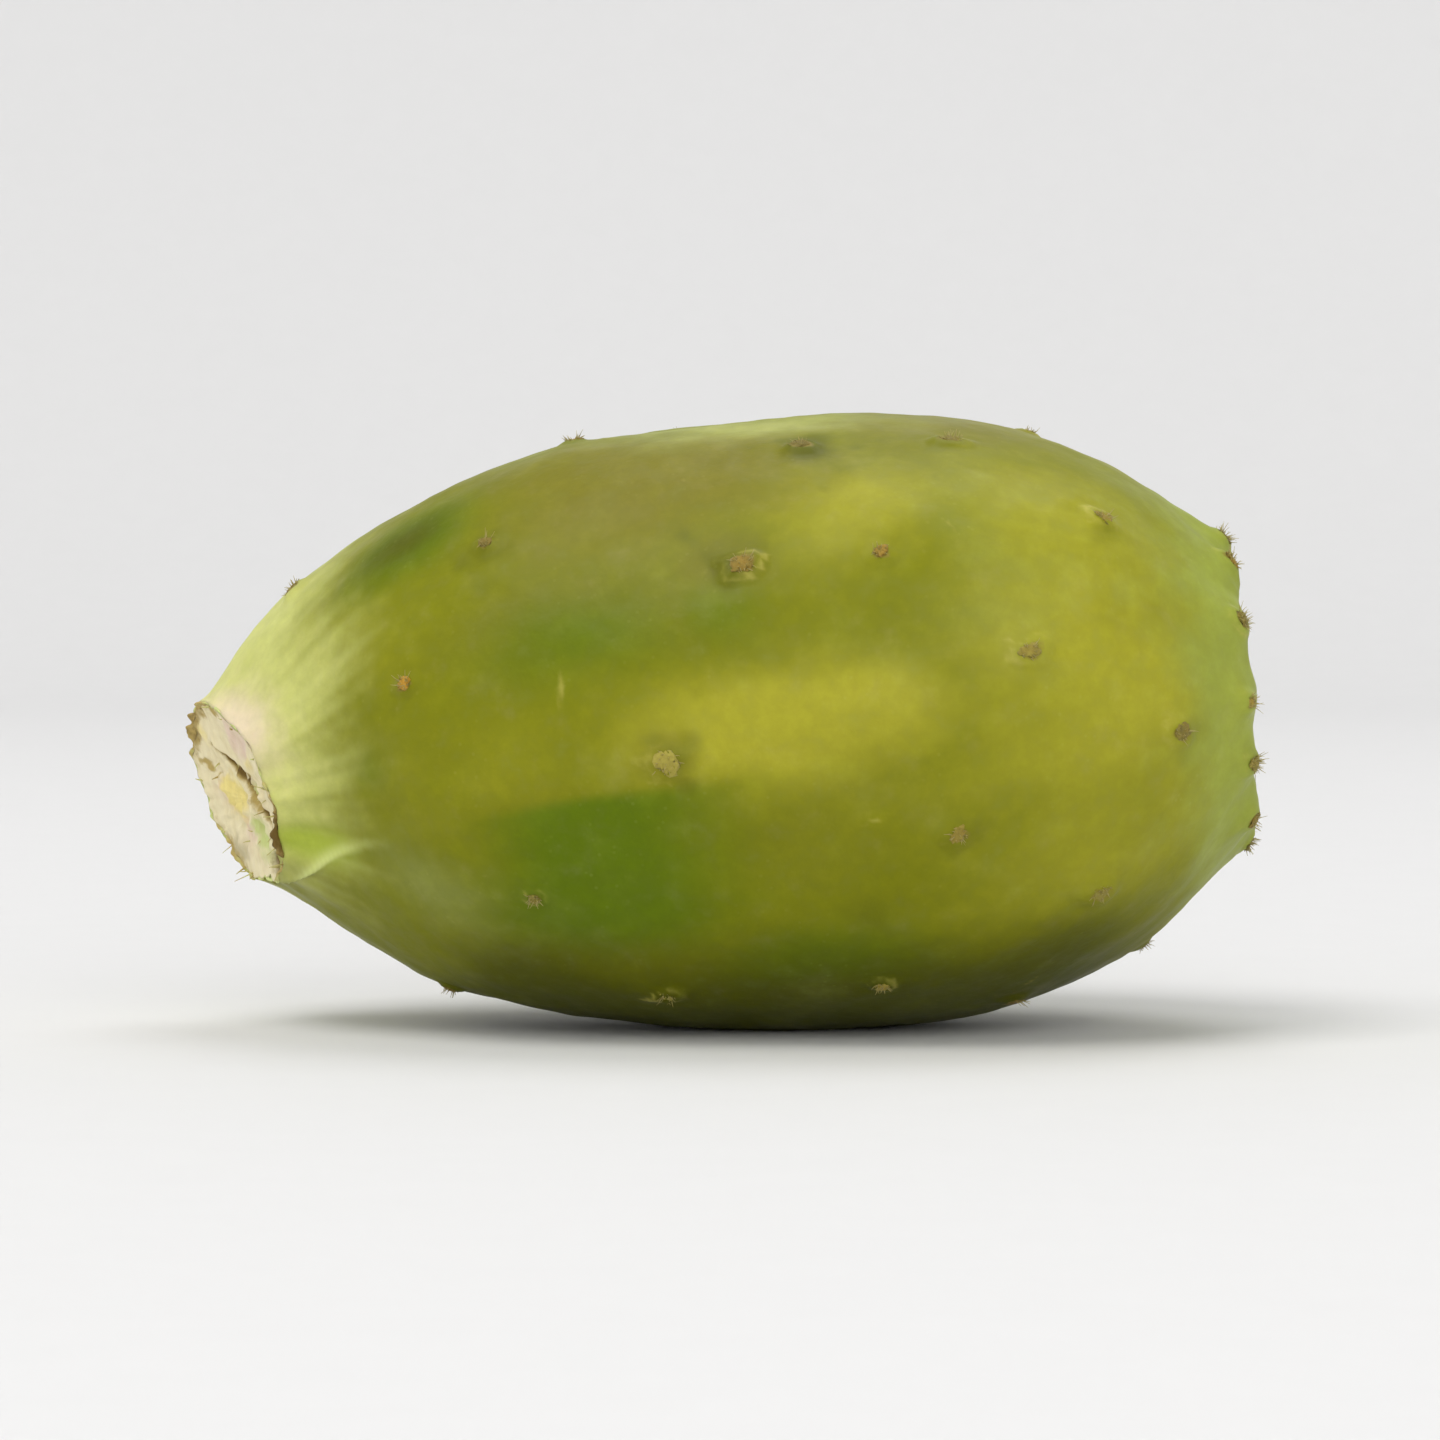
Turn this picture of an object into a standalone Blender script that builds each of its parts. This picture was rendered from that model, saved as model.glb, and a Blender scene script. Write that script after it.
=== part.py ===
"""Prickly pear fruit, green and cleared of its spines, as picked, lying on its side.

The fruit is one grown piece, so it is one solid. Its outline is turned about the fruit's own axis, bent
and cut on the slant at the stem end, and swelled a little under each areole. The areole cushions are then
fused to it, and a small flat is cut where it rests.

Metres, +Z up. The origin is the middle of the flat that the fruit rests on. +X runs along the fruit from
the stem scar to the crown, and -Y is the side with the stem scar in view.
"""

import math

import bmesh
import bpy
import numpy as np
from mathutils import Matrix, Vector

# The outline, from the stem scar to the bottom of the crown's hollow.
WIDEST_RADIUS = 0.028
STEM_REACH = 0.061
CROWN_REACH = 0.0365
SCAR_RADIUS = 0.0078
SCAR_HOLLOW = 0.0011
CROWN_RADIUS = 0.0123
LIP_ROUND = 0.0017
LIP_TURN = math.radians(98)
HOLLOW_DEPTH = 0.0040

# The stem end narrows to a neck, droops, comes forward, and is cut on the slant.
NECK_DEPTH = 0.0016
NECK_ALONG = 0.0035
BEND_LENGTH = 0.0165
STEM_DROOP = 0.0020
STEM_FORWARD = 0.0020
SLANT_LENGTH = 0.0140
SCAR_LEAN_UP = 0.25
SCAR_LEAN_FRONT = 0.46

# The upper side is fuller between the neck and the widest part.
SHOULDER_HEIGHT = 0.0026
SHOULDER_ALONG = 0.0225
SHOULDER_LENGTH = 0.0235

# Skin gathers into puckers round the scar, and into one longer fold from its lower edge.
PUCKER_COUNT = 7
PUCKER_HEIGHT = 0.00035
PUCKER_LENGTH = 0.0065
FOLD_HEIGHT = 0.0008
FOLD_WIDTH = 0.0012
FOLD_LENGTH = 0.009
FOLD_START, FOLD_END = math.radians(-74), math.radians(-16)
FOLD_BEND = 0.0024

# How it lies: the flat is under the balance point, and the crown end rides a little higher.
REST_ALONG = 0.0472
REST_SINK = 0.00038
REST_CLEAR = 0.015

# Areoles follow the golden angle, each with the same share of skin, and crowd on the crown's lip.
GOLDEN_ANGLE = math.pi * (3 - math.sqrt(5))
SKIN_PER_AREOLE = 0.000262
SPIRAL_START = math.radians(28)
LIP_AREOLES = 13

# Areoles that the photograph shows, and places that it shows to have none: millimetres from the scar and
# degrees above the front.
SEEN_AREOLES = (
    (47.6, 33), (39.6, -2), (26.6, -29), (37.6, -55), (53.6, 64), (15.3, 24),
    (33.4, 88), (9.5, 86), (16.5, -84), (25.2, 50),
)
BARE_PLACES = ((8.6, -25), (22, 93), (30.8, 13), (44.6, -32), (52, 0))
LEAST_SPACING = 0.011
CUSHION_LENGTH = 0.0018
CUSHION_WIDTH = 0.0015
CUSHION_HEIGHT = 0.00042
CUSHION_RISE = 0.7
LIP_CUSHION_SIZE = 0.8

# The skin swells under each areole, more so towards the crown, whose lip is scalloped by its own areoles.
SWELL_HEIGHT = 0.00028
SWELL_WIDTH = 0.0046
CROWN_SWELL_HEIGHT = 0.0003
CROWN_SWELL_REACH = 0.012
LIP_SWELL_HEIGHT = 0.0010
LIP_SWELL_WIDTH = 0.0030
SEED = 11

# How finely the solid is faceted.
SCAR_RINGS, BODY_RINGS, LIP_RINGS, HOLLOW_RINGS = 3, 32, 4, 6
SIDES = 66
CUSHION_SIDES, CUSHION_RINGS = 8, 6

WIDEST_ALONG = STEM_REACH * math.sqrt(1 - (SCAR_RADIUS / WIDEST_RADIUS) ** 2)
LIP_ALONG = WIDEST_ALONG + CROWN_REACH * math.sqrt(1 - (CROWN_RADIUS / WIDEST_RADIUS) ** 2)
REST_PLACE = (REST_ALONG, -math.pi / 2)


def material(name, colour, roughness):
    """A plain finish with one colour."""
    made = bpy.data.materials.new(name)
    made.use_nodes = True
    shader = made.node_tree.nodes["Principled BSDF"]
    shader.inputs["Base Color"].default_value = (*colour, 1)
    shader.inputs["Roughness"].default_value = roughness
    shader.inputs["Metallic"].default_value = 0
    return made


def outline(scar_rings, body_rings, lip_rings, hollow_rings):
    """Distances along the axis and radii: a shallow scar, two half ellipses that share the widest circle,
    an arc over the lip, and a Bezier curve down to the middle of the crown's hollow."""
    r = np.linspace(0, SCAR_RADIUS, scar_rings + 1)
    scar = np.stack([SCAR_HOLLOW * (1 - (r / SCAR_RADIUS) ** 2), r], 1)

    first = math.asin(SCAR_RADIUS / WIDEST_RADIUS)
    last = math.pi - math.asin(CROWN_RADIUS / WIDEST_RADIUS)
    turn = np.linspace(first, last, body_rings + 1)
    reach = np.where(turn < math.pi / 2, STEM_REACH, CROWN_REACH)
    body = np.stack([WIDEST_ALONG - reach * np.cos(turn), WIDEST_RADIUS * np.sin(turn)], 1)

    heading = math.atan2(WIDEST_RADIUS * math.cos(last), CROWN_REACH * math.sin(last))
    centre = body[-1] + LIP_ROUND * np.array([math.sin(heading), -math.cos(heading)])
    swing = heading + math.pi / 2 - np.linspace(0, LIP_TURN, lip_rings + 1)
    lip = centre + LIP_ROUND * np.stack([np.cos(swing), np.sin(swing)], 1)

    leave = np.array([math.cos(heading - LIP_TURN), math.sin(heading - LIP_TURN)])
    middle = np.array([centre[0] + LIP_ROUND - HOLLOW_DEPTH, 0])
    pulls = np.array([lip[-1], lip[-1] + leave * HOLLOW_DEPTH * 0.6, middle + [0, lip[-1][1] * 0.55], middle])
    t = np.linspace(0, 1, hollow_rings + 1)[:, None]
    hollow = ((1 - t) ** 3 * pulls[0] + 3 * (1 - t) ** 2 * t * pulls[1]
              + 3 * (1 - t) * t ** 2 * pulls[2] + t ** 3 * pulls[3])
    return np.concatenate([scar, body[1:], lip[1:], hollow[1:]])


def radius_at(along):
    """The radius of the two half ellipses, before any relief."""
    reach = np.where(along < WIDEST_ALONG, STEM_REACH, CROWN_REACH)
    return WIDEST_RADIUS * np.sqrt(np.clip(1 - ((along - WIDEST_ALONG) / reach) ** 2, 0, 1))


def lean():
    """The tilt at which the underside is level above the flat: the slope of the outline there."""
    share = (WIDEST_ALONG - REST_ALONG) / STEM_REACH
    return math.atan(WIDEST_RADIUS / STEM_REACH * share / math.sqrt(1 - share ** 2))


def bell(distance, width):
    """1 in the middle, falling smoothly to about a third at this width and to nothing past twice it."""
    return np.exp(-(distance / width) ** 2)


def lumps(along, angle):
    """Broad unevenness of the body: a fuller upper side towards the stem, and low waves round and along it
    that die away at both ends and over the flat that it rests on."""
    shoulder = SHOULDER_HEIGHT * bell(along - SHOULDER_ALONG, SHOULDER_LENGTH) * ((1 + np.sin(angle)) / 2) ** 2
    t = along / LIP_ALONG
    waves = (0.00042 * np.cos(2 * angle + 0.7)
             + 0.00030 * np.cos(3 * angle + 4.0 * t + 1.2)
             + 0.00024 * np.cos(5 * angle - 7.0 * t + 2.1)
             + 0.00018 * np.cos(8 * angle + 9.0 * t))
    low = np.sin(np.clip(t, 0, 1) * math.pi)
    under = np.hypot(along - REST_ALONG, WIDEST_RADIUS * (np.mod(angle - math.pi / 2, 2 * math.pi) - math.pi))
    return shoulder + waves * low * (1 - bell(under, REST_CLEAR))


def stem_relief(along, angle):
    """The narrow neck behind the scar, with its puckers and its one longer fold."""
    along = np.maximum(along, 0)
    neck = NECK_DEPTH * along / NECK_ALONG * np.exp(1 - along / NECK_ALONG)
    wave = np.cos(PUCKER_COUNT * angle + 1.3 * np.sin(2 * angle) + 0.8)
    pucker = PUCKER_HEIGHT * wave * np.exp(-along / PUCKER_LENGTH)
    crest = FOLD_END + (FOLD_START - FOLD_END) * np.exp(-along / FOLD_BEND)
    aside = np.maximum(radius_at(along), SCAR_RADIUS) * (np.mod(angle - crest + math.pi, 2 * math.pi) - math.pi)
    return pucker + FOLD_HEIGHT * bell(aside, FOLD_WIDTH) * bell(along, FOLD_LENGTH) - neck


def place(along, radius, angle):
    """Points of the turned outline in the part's frame. The angle is 0 towards the front and a right
    angle upwards. The section is first swelled, then slanted and drooped near the stem, then laid down."""
    relief = lumps(along, angle) + stem_relief(along, angle)
    grown = radius * (1 + relief / np.maximum(radius_at(along), SCAR_RADIUS))
    front, up = grown * np.cos(angle), grown * np.sin(angle)
    forward = along + bell(along, SLANT_LENGTH) * (SCAR_LEAN_FRONT * front - SCAR_LEAN_UP * up)
    bend = bell(along, BEND_LENGTH)
    front = front + STEM_FORWARD * bend
    up = up - STEM_DROOP * bend
    tilt = lean()
    rest_radius = float(radius_at(np.array(REST_ALONG)))
    x = (forward - REST_ALONG) * math.cos(tilt) - (up + rest_radius) * math.sin(tilt)
    z = (forward - REST_ALONG) * math.sin(tilt) + (up + rest_radius) * math.cos(tilt)
    return np.stack([x, -front, z - REST_SINK], -1)


def areole_places():
    """(distance along, angle) of each areole on the body, and of each on the crown's lip. Those seen in the
    photograph come first. A spiral that gives each the same share of skin fills the rest of the body, and
    is left out where it comes too near one of them or a place that the photograph shows to be bare."""
    along = np.linspace(0, LIP_ALONG, 600)
    radius = np.maximum(radius_at(along), SCAR_RADIUS)
    ring = math.pi * (radius[1:] + radius[:-1]) * np.hypot(np.diff(along), np.diff(radius))
    skin = np.concatenate([[0], np.cumsum(ring)])
    number = np.arange(int(skin[-1] / SKIN_PER_AREOLE))
    spots = np.interp((number + 0.5) * SKIN_PER_AREOLE, skin, along)
    turns = SPIRAL_START - number * GOLDEN_ANGLE
    seen = [(mm / 1000, math.radians(degrees)) for mm, degrees in SEEN_AREOLES]
    bare = [(mm / 1000, math.radians(degrees)) for mm, degrees in BARE_PLACES]
    body = list(seen)
    for spot in zip(spots.tolist(), turns.tolist()):
        on_body = 0.006 < spot[0] < LIP_ALONG - 0.006
        if on_body and all(apart(spot, other) > LEAST_SPACING for other in [*seen, *bare, REST_PLACE]):
            body.append(spot)

    draw = np.random.default_rng(SEED)
    step = 2 * math.pi / LIP_AREOLES
    lip = [(LIP_ALONG - 0.0008, (k + draw.uniform(-0.16, 0.16)) * step) for k in range(LIP_AREOLES)]
    return body, lip


def body_swell(along):
    """The height of the mound under an areole on the body, which grows towards the crown."""
    return SWELL_HEIGHT + CROWN_SWELL_HEIGHT * float(bell(LIP_ALONG - along, CROWN_SWELL_REACH))


def apart(one, other):
    """The distance over the skin between two places on the body."""
    radius = float(radius_at(np.array((one[0] + other[0]) / 2)))
    return math.hypot(one[0] - other[0], radius * math.remainder(one[1] - other[1], 2 * math.pi))


def surface_frame(along, angle):
    """The point at a place on the body, with the directions along it, round it and out of it."""
    step = 0.0002
    at = place(*surface(along, angle))
    ahead = place(*surface(along + step, angle)) - place(*surface(along - step, angle))
    turned = place(*surface(along, angle + step / 0.02)) - place(*surface(along, angle - step / 0.02))
    ahead, turned = Vector(ahead).normalized(), Vector(turned).normalized()
    out = ahead.cross(turned).normalized()
    axis_out = Vector((0, -math.cos(angle), math.sin(angle)))
    if out.dot(axis_out) < 0:
        out = -out
    return Vector(at), ahead, turned, out


def surface(along, angle):
    """The distance, radius and angle of a place on the body, as arrays that place() takes."""
    return np.array(along), radius_at(np.array(along)), np.array(angle)


def turned_body(collection):
    """The outline turned about the fruit's axis by a Screw, then each vertex moved by place()."""
    profile = outline(SCAR_RINGS, BODY_RINGS, LIP_RINGS, HOLLOW_RINGS)[::-1]
    mesh = bpy.data.meshes.new("outline")
    points = [(float(s), 0, float(r)) for s, r in profile]
    mesh.from_pydata(points, [(k, k + 1) for k in range(len(points) - 1)], [])
    turned = bpy.data.objects.new("outline", mesh)
    collection.objects.link(turned)
    screw = turned.modifiers.new("turn", "SCREW")
    screw.axis = "X"
    screw.steps = SIDES
    screw.render_steps = SIDES
    screw.use_merge_vertices = True
    screw.merge_threshold = 0.00001
    graph = bpy.context.evaluated_depsgraph_get()
    made = bpy.data.meshes.new_from_object(turned.evaluated_get(graph))
    bpy.data.objects.remove(turned)

    flat = np.empty(len(made.vertices) * 3)
    made.vertices.foreach_get("co", flat)
    x, y, z = flat.reshape(-1, 3).T
    moved = place(x, np.hypot(y, z), np.arctan2(z, -y))
    made.vertices.foreach_set("co", moved.ravel())
    weld(made)
    return made


def weld(mesh):
    """Joins doubled points and turns the faces outwards."""
    work = bmesh.new()
    work.from_mesh(mesh)
    bmesh.ops.remove_doubles(work, verts=work.verts, dist=0.00001)
    bmesh.ops.recalc_face_normals(work, faces=work.faces)
    work.to_mesh(mesh)
    work.free()


def swell(mesh, centres, heights, width):
    """Raises the skin in a soft mound of its own height round each centre, along the skin's normals."""
    points = np.empty(len(mesh.vertices) * 3)
    mesh.vertices.foreach_get("co", points)
    points = points.reshape(-1, 3)
    out = np.empty(len(mesh.vertices) * 3)
    mesh.vertices.foreach_get("normal", out)
    away = np.linalg.norm(points[:, None] - np.array(centres)[None], axis=2)
    raised = (np.array(heights) * bell(away, width)).max(1)
    mesh.vertices.foreach_set("co", (points + raised[:, None] * out.reshape(-1, 3)).ravel())
    mesh.update()


def cushion(name, collection, frame, size, raised):
    """One areole cushion: a low oval dome with its lower half sunk in the skin."""
    at, ahead, turned, out = frame
    turn = Matrix((ahead, turned, out)).transposed().to_4x4()
    scale = Matrix.Diagonal((CUSHION_LENGTH * size, CUSHION_WIDTH * size, CUSHION_HEIGHT * size, 1))
    mesh = bpy.data.meshes.new(name)
    work = bmesh.new()
    bmesh.ops.create_uvsphere(work, u_segments=CUSHION_SIDES, v_segments=CUSHION_RINGS, radius=1)
    bmesh.ops.transform(work, matrix=Matrix.Translation(at + out * raised) @ turn @ scale, verts=work.verts)
    bmesh.ops.recalc_face_normals(work, faces=work.faces)
    work.to_mesh(mesh)
    work.free()
    made = bpy.data.objects.new(name, mesh)
    collection.objects.link(made)
    return made


def floor_cutter(collection):
    """A slab with its top at the height where the fruit rests."""
    size = 0.06
    mesh = bpy.data.meshes.new("floor_cutter")
    work = bmesh.new()
    bmesh.ops.create_cube(work, size=size, matrix=Matrix.Translation((0, 0, -size / 2)))
    work.to_mesh(mesh)
    work.free()
    made = bpy.data.objects.new("floor_cutter", mesh)
    made.hide_render = True
    made.display_type = "WIRE"
    collection.objects.link(made)
    return made


def fruit(collection, cutters):
    """The whole fruit: the turned body with its areoles raised and fused, and the flat cut."""
    body_areoles, lip_areoles = areole_places()
    body_frames = [surface_frame(s, a) for s, a in body_areoles]
    lip_frames = [surface_frame(s, a) for s, a in lip_areoles]
    body_swells = [body_swell(s) for s, _ in body_areoles]
    lip_swells = [LIP_SWELL_HEIGHT] * len(lip_areoles)
    mesh = turned_body(collection)
    mesh.name = "fruit"
    swell(mesh, [f[0] for f in body_frames], body_swells, SWELL_WIDTH)
    swell(mesh, [f[0] for f in lip_frames], lip_swells, LIP_SWELL_WIDTH)

    made = bpy.data.objects.new("fruit", mesh)
    collection.objects.link(made)
    cushions = bpy.data.collections.new("cushions")
    bpy.context.scene.collection.children.link(cushions)
    for k, (frame, height) in enumerate(zip(body_frames, body_swells)):
        cushion(f"cushion_{k}", cushions, frame, 1, height * CUSHION_RISE)
    for k, (frame, height) in enumerate(zip(lip_frames, lip_swells)):
        cushion(f"lip_cushion_{k}", cushions, frame, LIP_CUSHION_SIZE, height * CUSHION_RISE)

    fuse = made.modifiers.new("fuse_cushions", "BOOLEAN")
    fuse.operation = "UNION"
    fuse.operand_type = "COLLECTION"
    fuse.collection = cushions
    fuse.solver = "EXACT"
    cut = made.modifiers.new("cut_flat", "BOOLEAN")
    cut.operation = "DIFFERENCE"
    cut.object = floor_cutter(cutters)
    cut.solver = "EXACT"
    graph = bpy.context.evaluated_depsgraph_get()
    joined = bpy.data.meshes.new_from_object(made.evaluated_get(graph))
    made.modifiers.clear()
    made.data = joined
    for other in list(cushions.objects):
        bpy.data.objects.remove(other)
    bpy.data.collections.remove(cushions)
    joined.shade_smooth()
    joined.set_sharp_from_angle(angle=math.radians(40))
    joined.materials.clear()
    joined.materials.append(material("green_skin", (0.33, 0.36, 0.06), 0.45))
    return made


def main():
    for old in list(bpy.data.objects):
        bpy.data.objects.remove(old, do_unlink=True)
    parts = bpy.data.collections.new("prickly_pear_fruit")
    cutters = bpy.data.collections.new("cutters")
    bpy.context.scene.collection.children.link(parts)
    bpy.context.scene.collection.children.link(cutters)
    fruit(parts, cutters)


main()
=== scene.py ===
"""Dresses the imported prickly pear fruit: a waxy green rind with its areoles, the dry cut at the stem end,
and the flower scar in the hollow of the crown. The rind repeats the solid's own formulas on a finer grid.

Metres, +Z up. +X runs along the fruit from the stem scar to the crown, and -Y is the front.
"""

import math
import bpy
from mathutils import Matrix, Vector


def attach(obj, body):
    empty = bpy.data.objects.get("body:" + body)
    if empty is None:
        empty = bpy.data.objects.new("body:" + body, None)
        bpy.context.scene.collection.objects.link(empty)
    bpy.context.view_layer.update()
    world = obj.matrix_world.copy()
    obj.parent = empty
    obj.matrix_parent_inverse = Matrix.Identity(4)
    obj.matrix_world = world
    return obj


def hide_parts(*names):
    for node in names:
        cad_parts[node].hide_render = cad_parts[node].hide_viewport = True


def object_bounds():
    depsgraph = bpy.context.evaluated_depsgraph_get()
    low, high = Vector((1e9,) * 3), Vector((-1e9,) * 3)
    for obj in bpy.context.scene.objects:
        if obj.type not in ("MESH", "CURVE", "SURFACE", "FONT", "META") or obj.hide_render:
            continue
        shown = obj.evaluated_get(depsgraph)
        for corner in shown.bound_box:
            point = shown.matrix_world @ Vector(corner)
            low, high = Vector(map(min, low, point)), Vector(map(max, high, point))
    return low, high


bl_info = {
    "name": "Prickly pear fruit",
    "version": (1, 0, 0),
    "blender": (4, 5, 0),
    "location": "View3D > Sidebar > Prickly pear",
    "description": "Builds a green prickly pear fruit, cleared of its spines, lying on its side",
    "category": "Object",
}

import bpy
import numpy as np
from bpy.props import FloatProperty, FloatVectorProperty, IntProperty, PointerProperty
from bpy.types import Operator, Panel, PropertyGroup
from mathutils import Vector

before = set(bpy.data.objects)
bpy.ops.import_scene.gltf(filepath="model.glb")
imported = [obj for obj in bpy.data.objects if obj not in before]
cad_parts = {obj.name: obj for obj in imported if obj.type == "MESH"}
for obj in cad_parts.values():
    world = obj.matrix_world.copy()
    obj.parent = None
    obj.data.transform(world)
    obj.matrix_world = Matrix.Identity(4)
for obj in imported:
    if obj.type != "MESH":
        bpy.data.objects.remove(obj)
CAD_LOW, CAD_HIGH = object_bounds()
MM = 0.001
TURN = 2 * math.pi
GOLDEN_ANGLE = math.pi * (3 - math.sqrt(5))

# Areoles seen from the front: mm from the cut, degrees above the front, size, paleness of the rim, strength
# of the painted shade beside it, the side that this shade is on in degrees from the crown, and the felt's
# warmth and paleness.
SEEN_AREOLES = (
    (47.6, 33, 1.15, 0.8, 1.0, 165, 0.3, 0.15), (39.6, -2, 1.35, 0.5, 0.7, 0, 0.1, 0.75),
    (26.6, -29, 0.60, 0.8, 0.1, 0, 0.1, 0.5), (37.6, -55, 0.95, 1.0, 0.0, 0, 0.1, 1.0),
    (53.6, 64, 1.00, 0.1, 1.0, 30, 0.1, 0.0), (15.3, 24, 0.70, 0.1, 0.2, -80, 1.0, 0.0),
    (33.4, 88, 0.80, 0.4, 0.5, 0, 0.4, 0.3), (9.5, 86, 0.95, 0.3, 0.7, 40, 0.2, 0.2),
    (16.5, -84, 0.80, 0.3, 0.2, 0, 0.3, 0.3), (25.2, 50, 0.75, 0.4, 0.7, -90, 0.2, 0.1),
)

# Places that were seen to have no areole: mm from the cut, degrees above the front.
BARE_PLACES = ((8.6, -25), (22, 93), (30.8, 13), (44.6, -32), (52, 0))

# Broad colour patches of the rind, for each zone: mm from the cut, degrees above the front, half length in
# mm, half width in degrees, strength.
PATCHES = {
    "yellow": ((50, 4, 16, 11, 1.25), (28, 1, 10, 9, 0.3), (10, 22, 9, 30, 0.2), (58, 42, 10, 18, 0.6),
               (78, 10, 16, 60, 0.8), (76, -110, 15, 50, 0.6), (76, 130, 15, 50, 0.8), (40, 150, 16, 22, 0.8),
               (48, -150, 14, 24, 0.6), (50, -30, 8, 12, 0.2)),
    # The olive patches at 39.2 and 46 mm are painted shade round two areoles.
    "olive": ((40, 62, 17, 26, 1.0), (64, 88, 14, 30, 0.8), (28, 115, 14, 26, 0.7), (8.2, 6, 4, 11, 0.5),
              (58, 175, 15, 20, 0.6), (50, -18, 9, 9, 0.3), (32, 28, 12, 12, 0.7), (39.2, -1, 3.5, 7, 0.6),
              (46, 36, 5, 9, 0.9)),
    # Painted shade: the deep patches at 18 mm on the shoulder, at 47 mm over an areole and low at 52 mm.
    "deep": ((8.2, 6, 3.5, 10, 0.5), (18, 62, 6, 11, 1.1), (32, 24, 11, 12, 0.65), (45, 25, 5, 8, 0.5),
             (47, 38, 6, 9, 0.3), (52, -50, 10, 13, 1.0), (30, -172, 14, 24, 0.7), (62, -80, 14, 30, 0.5),
             (20, 140, 8, 18, 0.6)),
    # Painted shade, darkest: beside the areole at 53.6 mm and on the shoulder.
    "painted_dark_shade": ((54.2, 62, 2.4, 5, 0.9), (17.5, 63, 5, 9, 0.8)),
    # Wax bloom; the patches at 14 mm low on the front and at 47 mm on the top edge are painted sheen.
    "bloom_and_sheen": ((14, -31, 8, 14, 0.85), (47, 88, 16, 14, 1.3), (70, 30, 8, 22, 0.4), (84, 60, 6, 50, 0.35),
              (86, -130, 6, 60, 0.35), (34, 165, 12, 16, 0.6), (60, -130, 12, 22, 0.5),
              (16, 105, 9, 18, 0.5)),
    # A painted highlight along the top edge.
    "pale": ((50, 80, 13, 10, 0.62),),
    "crease": ((2, -27, 3.2, 13, 1.0),),
    "blush": ((0, 55, 3, 38, 1.0),),
}

# Healed scuffs of the rind: mm from the cut, degrees above the front, half length and half width in mm,
# degrees from the fruit's length, strength.
SCUFFS = (
    (30.8, 13.5, 1.9, 0.42, 84, 0.7), (35.3, -45.5, 0.9, 0.6, 60, 0.35), (57, -16, 1.4, 0.25, 20, 0.7),
    (66, 38, 1.1, 0.25, 120, 0.6), (22, -24, 0.9, 0.2, 10, 0.5), (43, 56, 1.0, 0.2, 60, 0.5),
    (38, 168, 2.6, 0.35, 75, 0.9), (60, 122, 1.8, 0.3, 30, 0.7), (24, -150, 2.0, 0.3, 110, 0.7),
    (70, -64, 1.4, 0.3, 45, 0.6),
)

# The fissure in the cut face: mm to the front and mm up from its middle, and its half width in mm.
FISSURE = ((-2.6, 4.7, 0.12), (-0.9, 3.3, 0.35), (0.8, 2.3, 0.65), (2.2, 1.0, 0.95), (3.4, -0.6, 0.45),
           (5.4, -2.6, 0.5), (4.6, -4.3, 0.7))

# Dead skin round the cut: degrees above the front, half width in degrees, strength.
DARK_RIM = ((122, 34, 0.65), (-28, 32, 1.0), (-140, 28, 0.4))

# Bits of the cut face, for each mask: mm to the front and mm up from its middle, half width and half height
# in mm, strength.
CUT_BITS = {
    "blush": ((3.7, 5.2, 2.6, 1.8, 0.9), (-3.8, 0.5, 1.6, 1.6, 0.9), (-1.4, -3.2, 2.0, 1.8, 0.8)),
    "yolk": ((-2.3, -0.1, 2.0, 2.0, 1.5), (-3.3, 5.7, 0.9, 0.9, 0.7), (4.0, 2.9, 1.3, 0.8, 0.6)),
    "fresh": ((1.8, -3.5, 1.7, 1.6, 1.5), (1.8, -5.6, 1.8, 0.9, 0.5)),
    "brown": ((-5.5, 3.4, 0.8, 0.6, 1.0), (-4.2, 2.6, 0.4, 0.5, 0.7), (-0.3, 7.4, 2.2, 0.45, 0.9),
              (2.6, 0.3, 1.3, 1.2, 1.0)),
    # Painted shadow, deepest at the lower left.
    "grey_shadow": ((-4.8, -5.0, 1.9, 1.5, 0.9), (-3.4, -1.9, 1.4, 1.0, 0.4)),
}

# Waves of the broad unevenness: height in mm, waves round, twist along the fruit, phase.
LUMP_WAVES = ((0.42, 2, 0, 0.7), (0.30, 3, 4, 1.2), (0.24, 5, -7, 2.1), (0.18, 8, 9, 0))

# Lights of the studio: name, place in metres, width in metres, watts, colour.
LIGHTS = (("key", (-0.7, -0.65, 2.1), 1.2, 22, "#FFFDFA"), ("top", (0.2, 0.5, 1.4), 0.8, 6, "#FFFFFF"),
          ("fill", (0.25, -1.1, 0.6), 0.9, 4.2, "#FFFFFF"))


def linear(value):
    """A colour's sRGB hex value as linear red, green and blue."""
    shares = [int(value[k:k + 2], 16) / 255 for k in (1, 3, 5)]
    return tuple(c / 12.92 if c <= 0.04045 else ((c + 0.055) / 1.055) ** 2.4 for c in shares)


def number(name, description, value, **more):
    """A number that the user can change."""
    return FloatProperty(name=name, description=description, default=value, **more)


def length(name, description, millimetres):
    """A length that the user can change, given in millimetres and kept in metres."""
    return number(name, description, millimetres * MM, min=0, soft_max=0.2, unit="LENGTH", precision=5)


def bearing(name, description, degrees):
    """An angle that the user can change, given in degrees and kept in radians."""
    return number(name, description, math.radians(degrees), subtype="ANGLE")


def whole(name, description, value, least=0):
    """A whole number that the user can change."""
    return IntProperty(name=name, description=description, default=value, min=least)


def colour(name, description, value):
    """A colour that the user can change, given as sRGB hex."""
    return FloatVectorProperty(name=name, description=description, subtype="COLOR", size=3, min=0, max=1,
                               default=linear(value))


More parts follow.
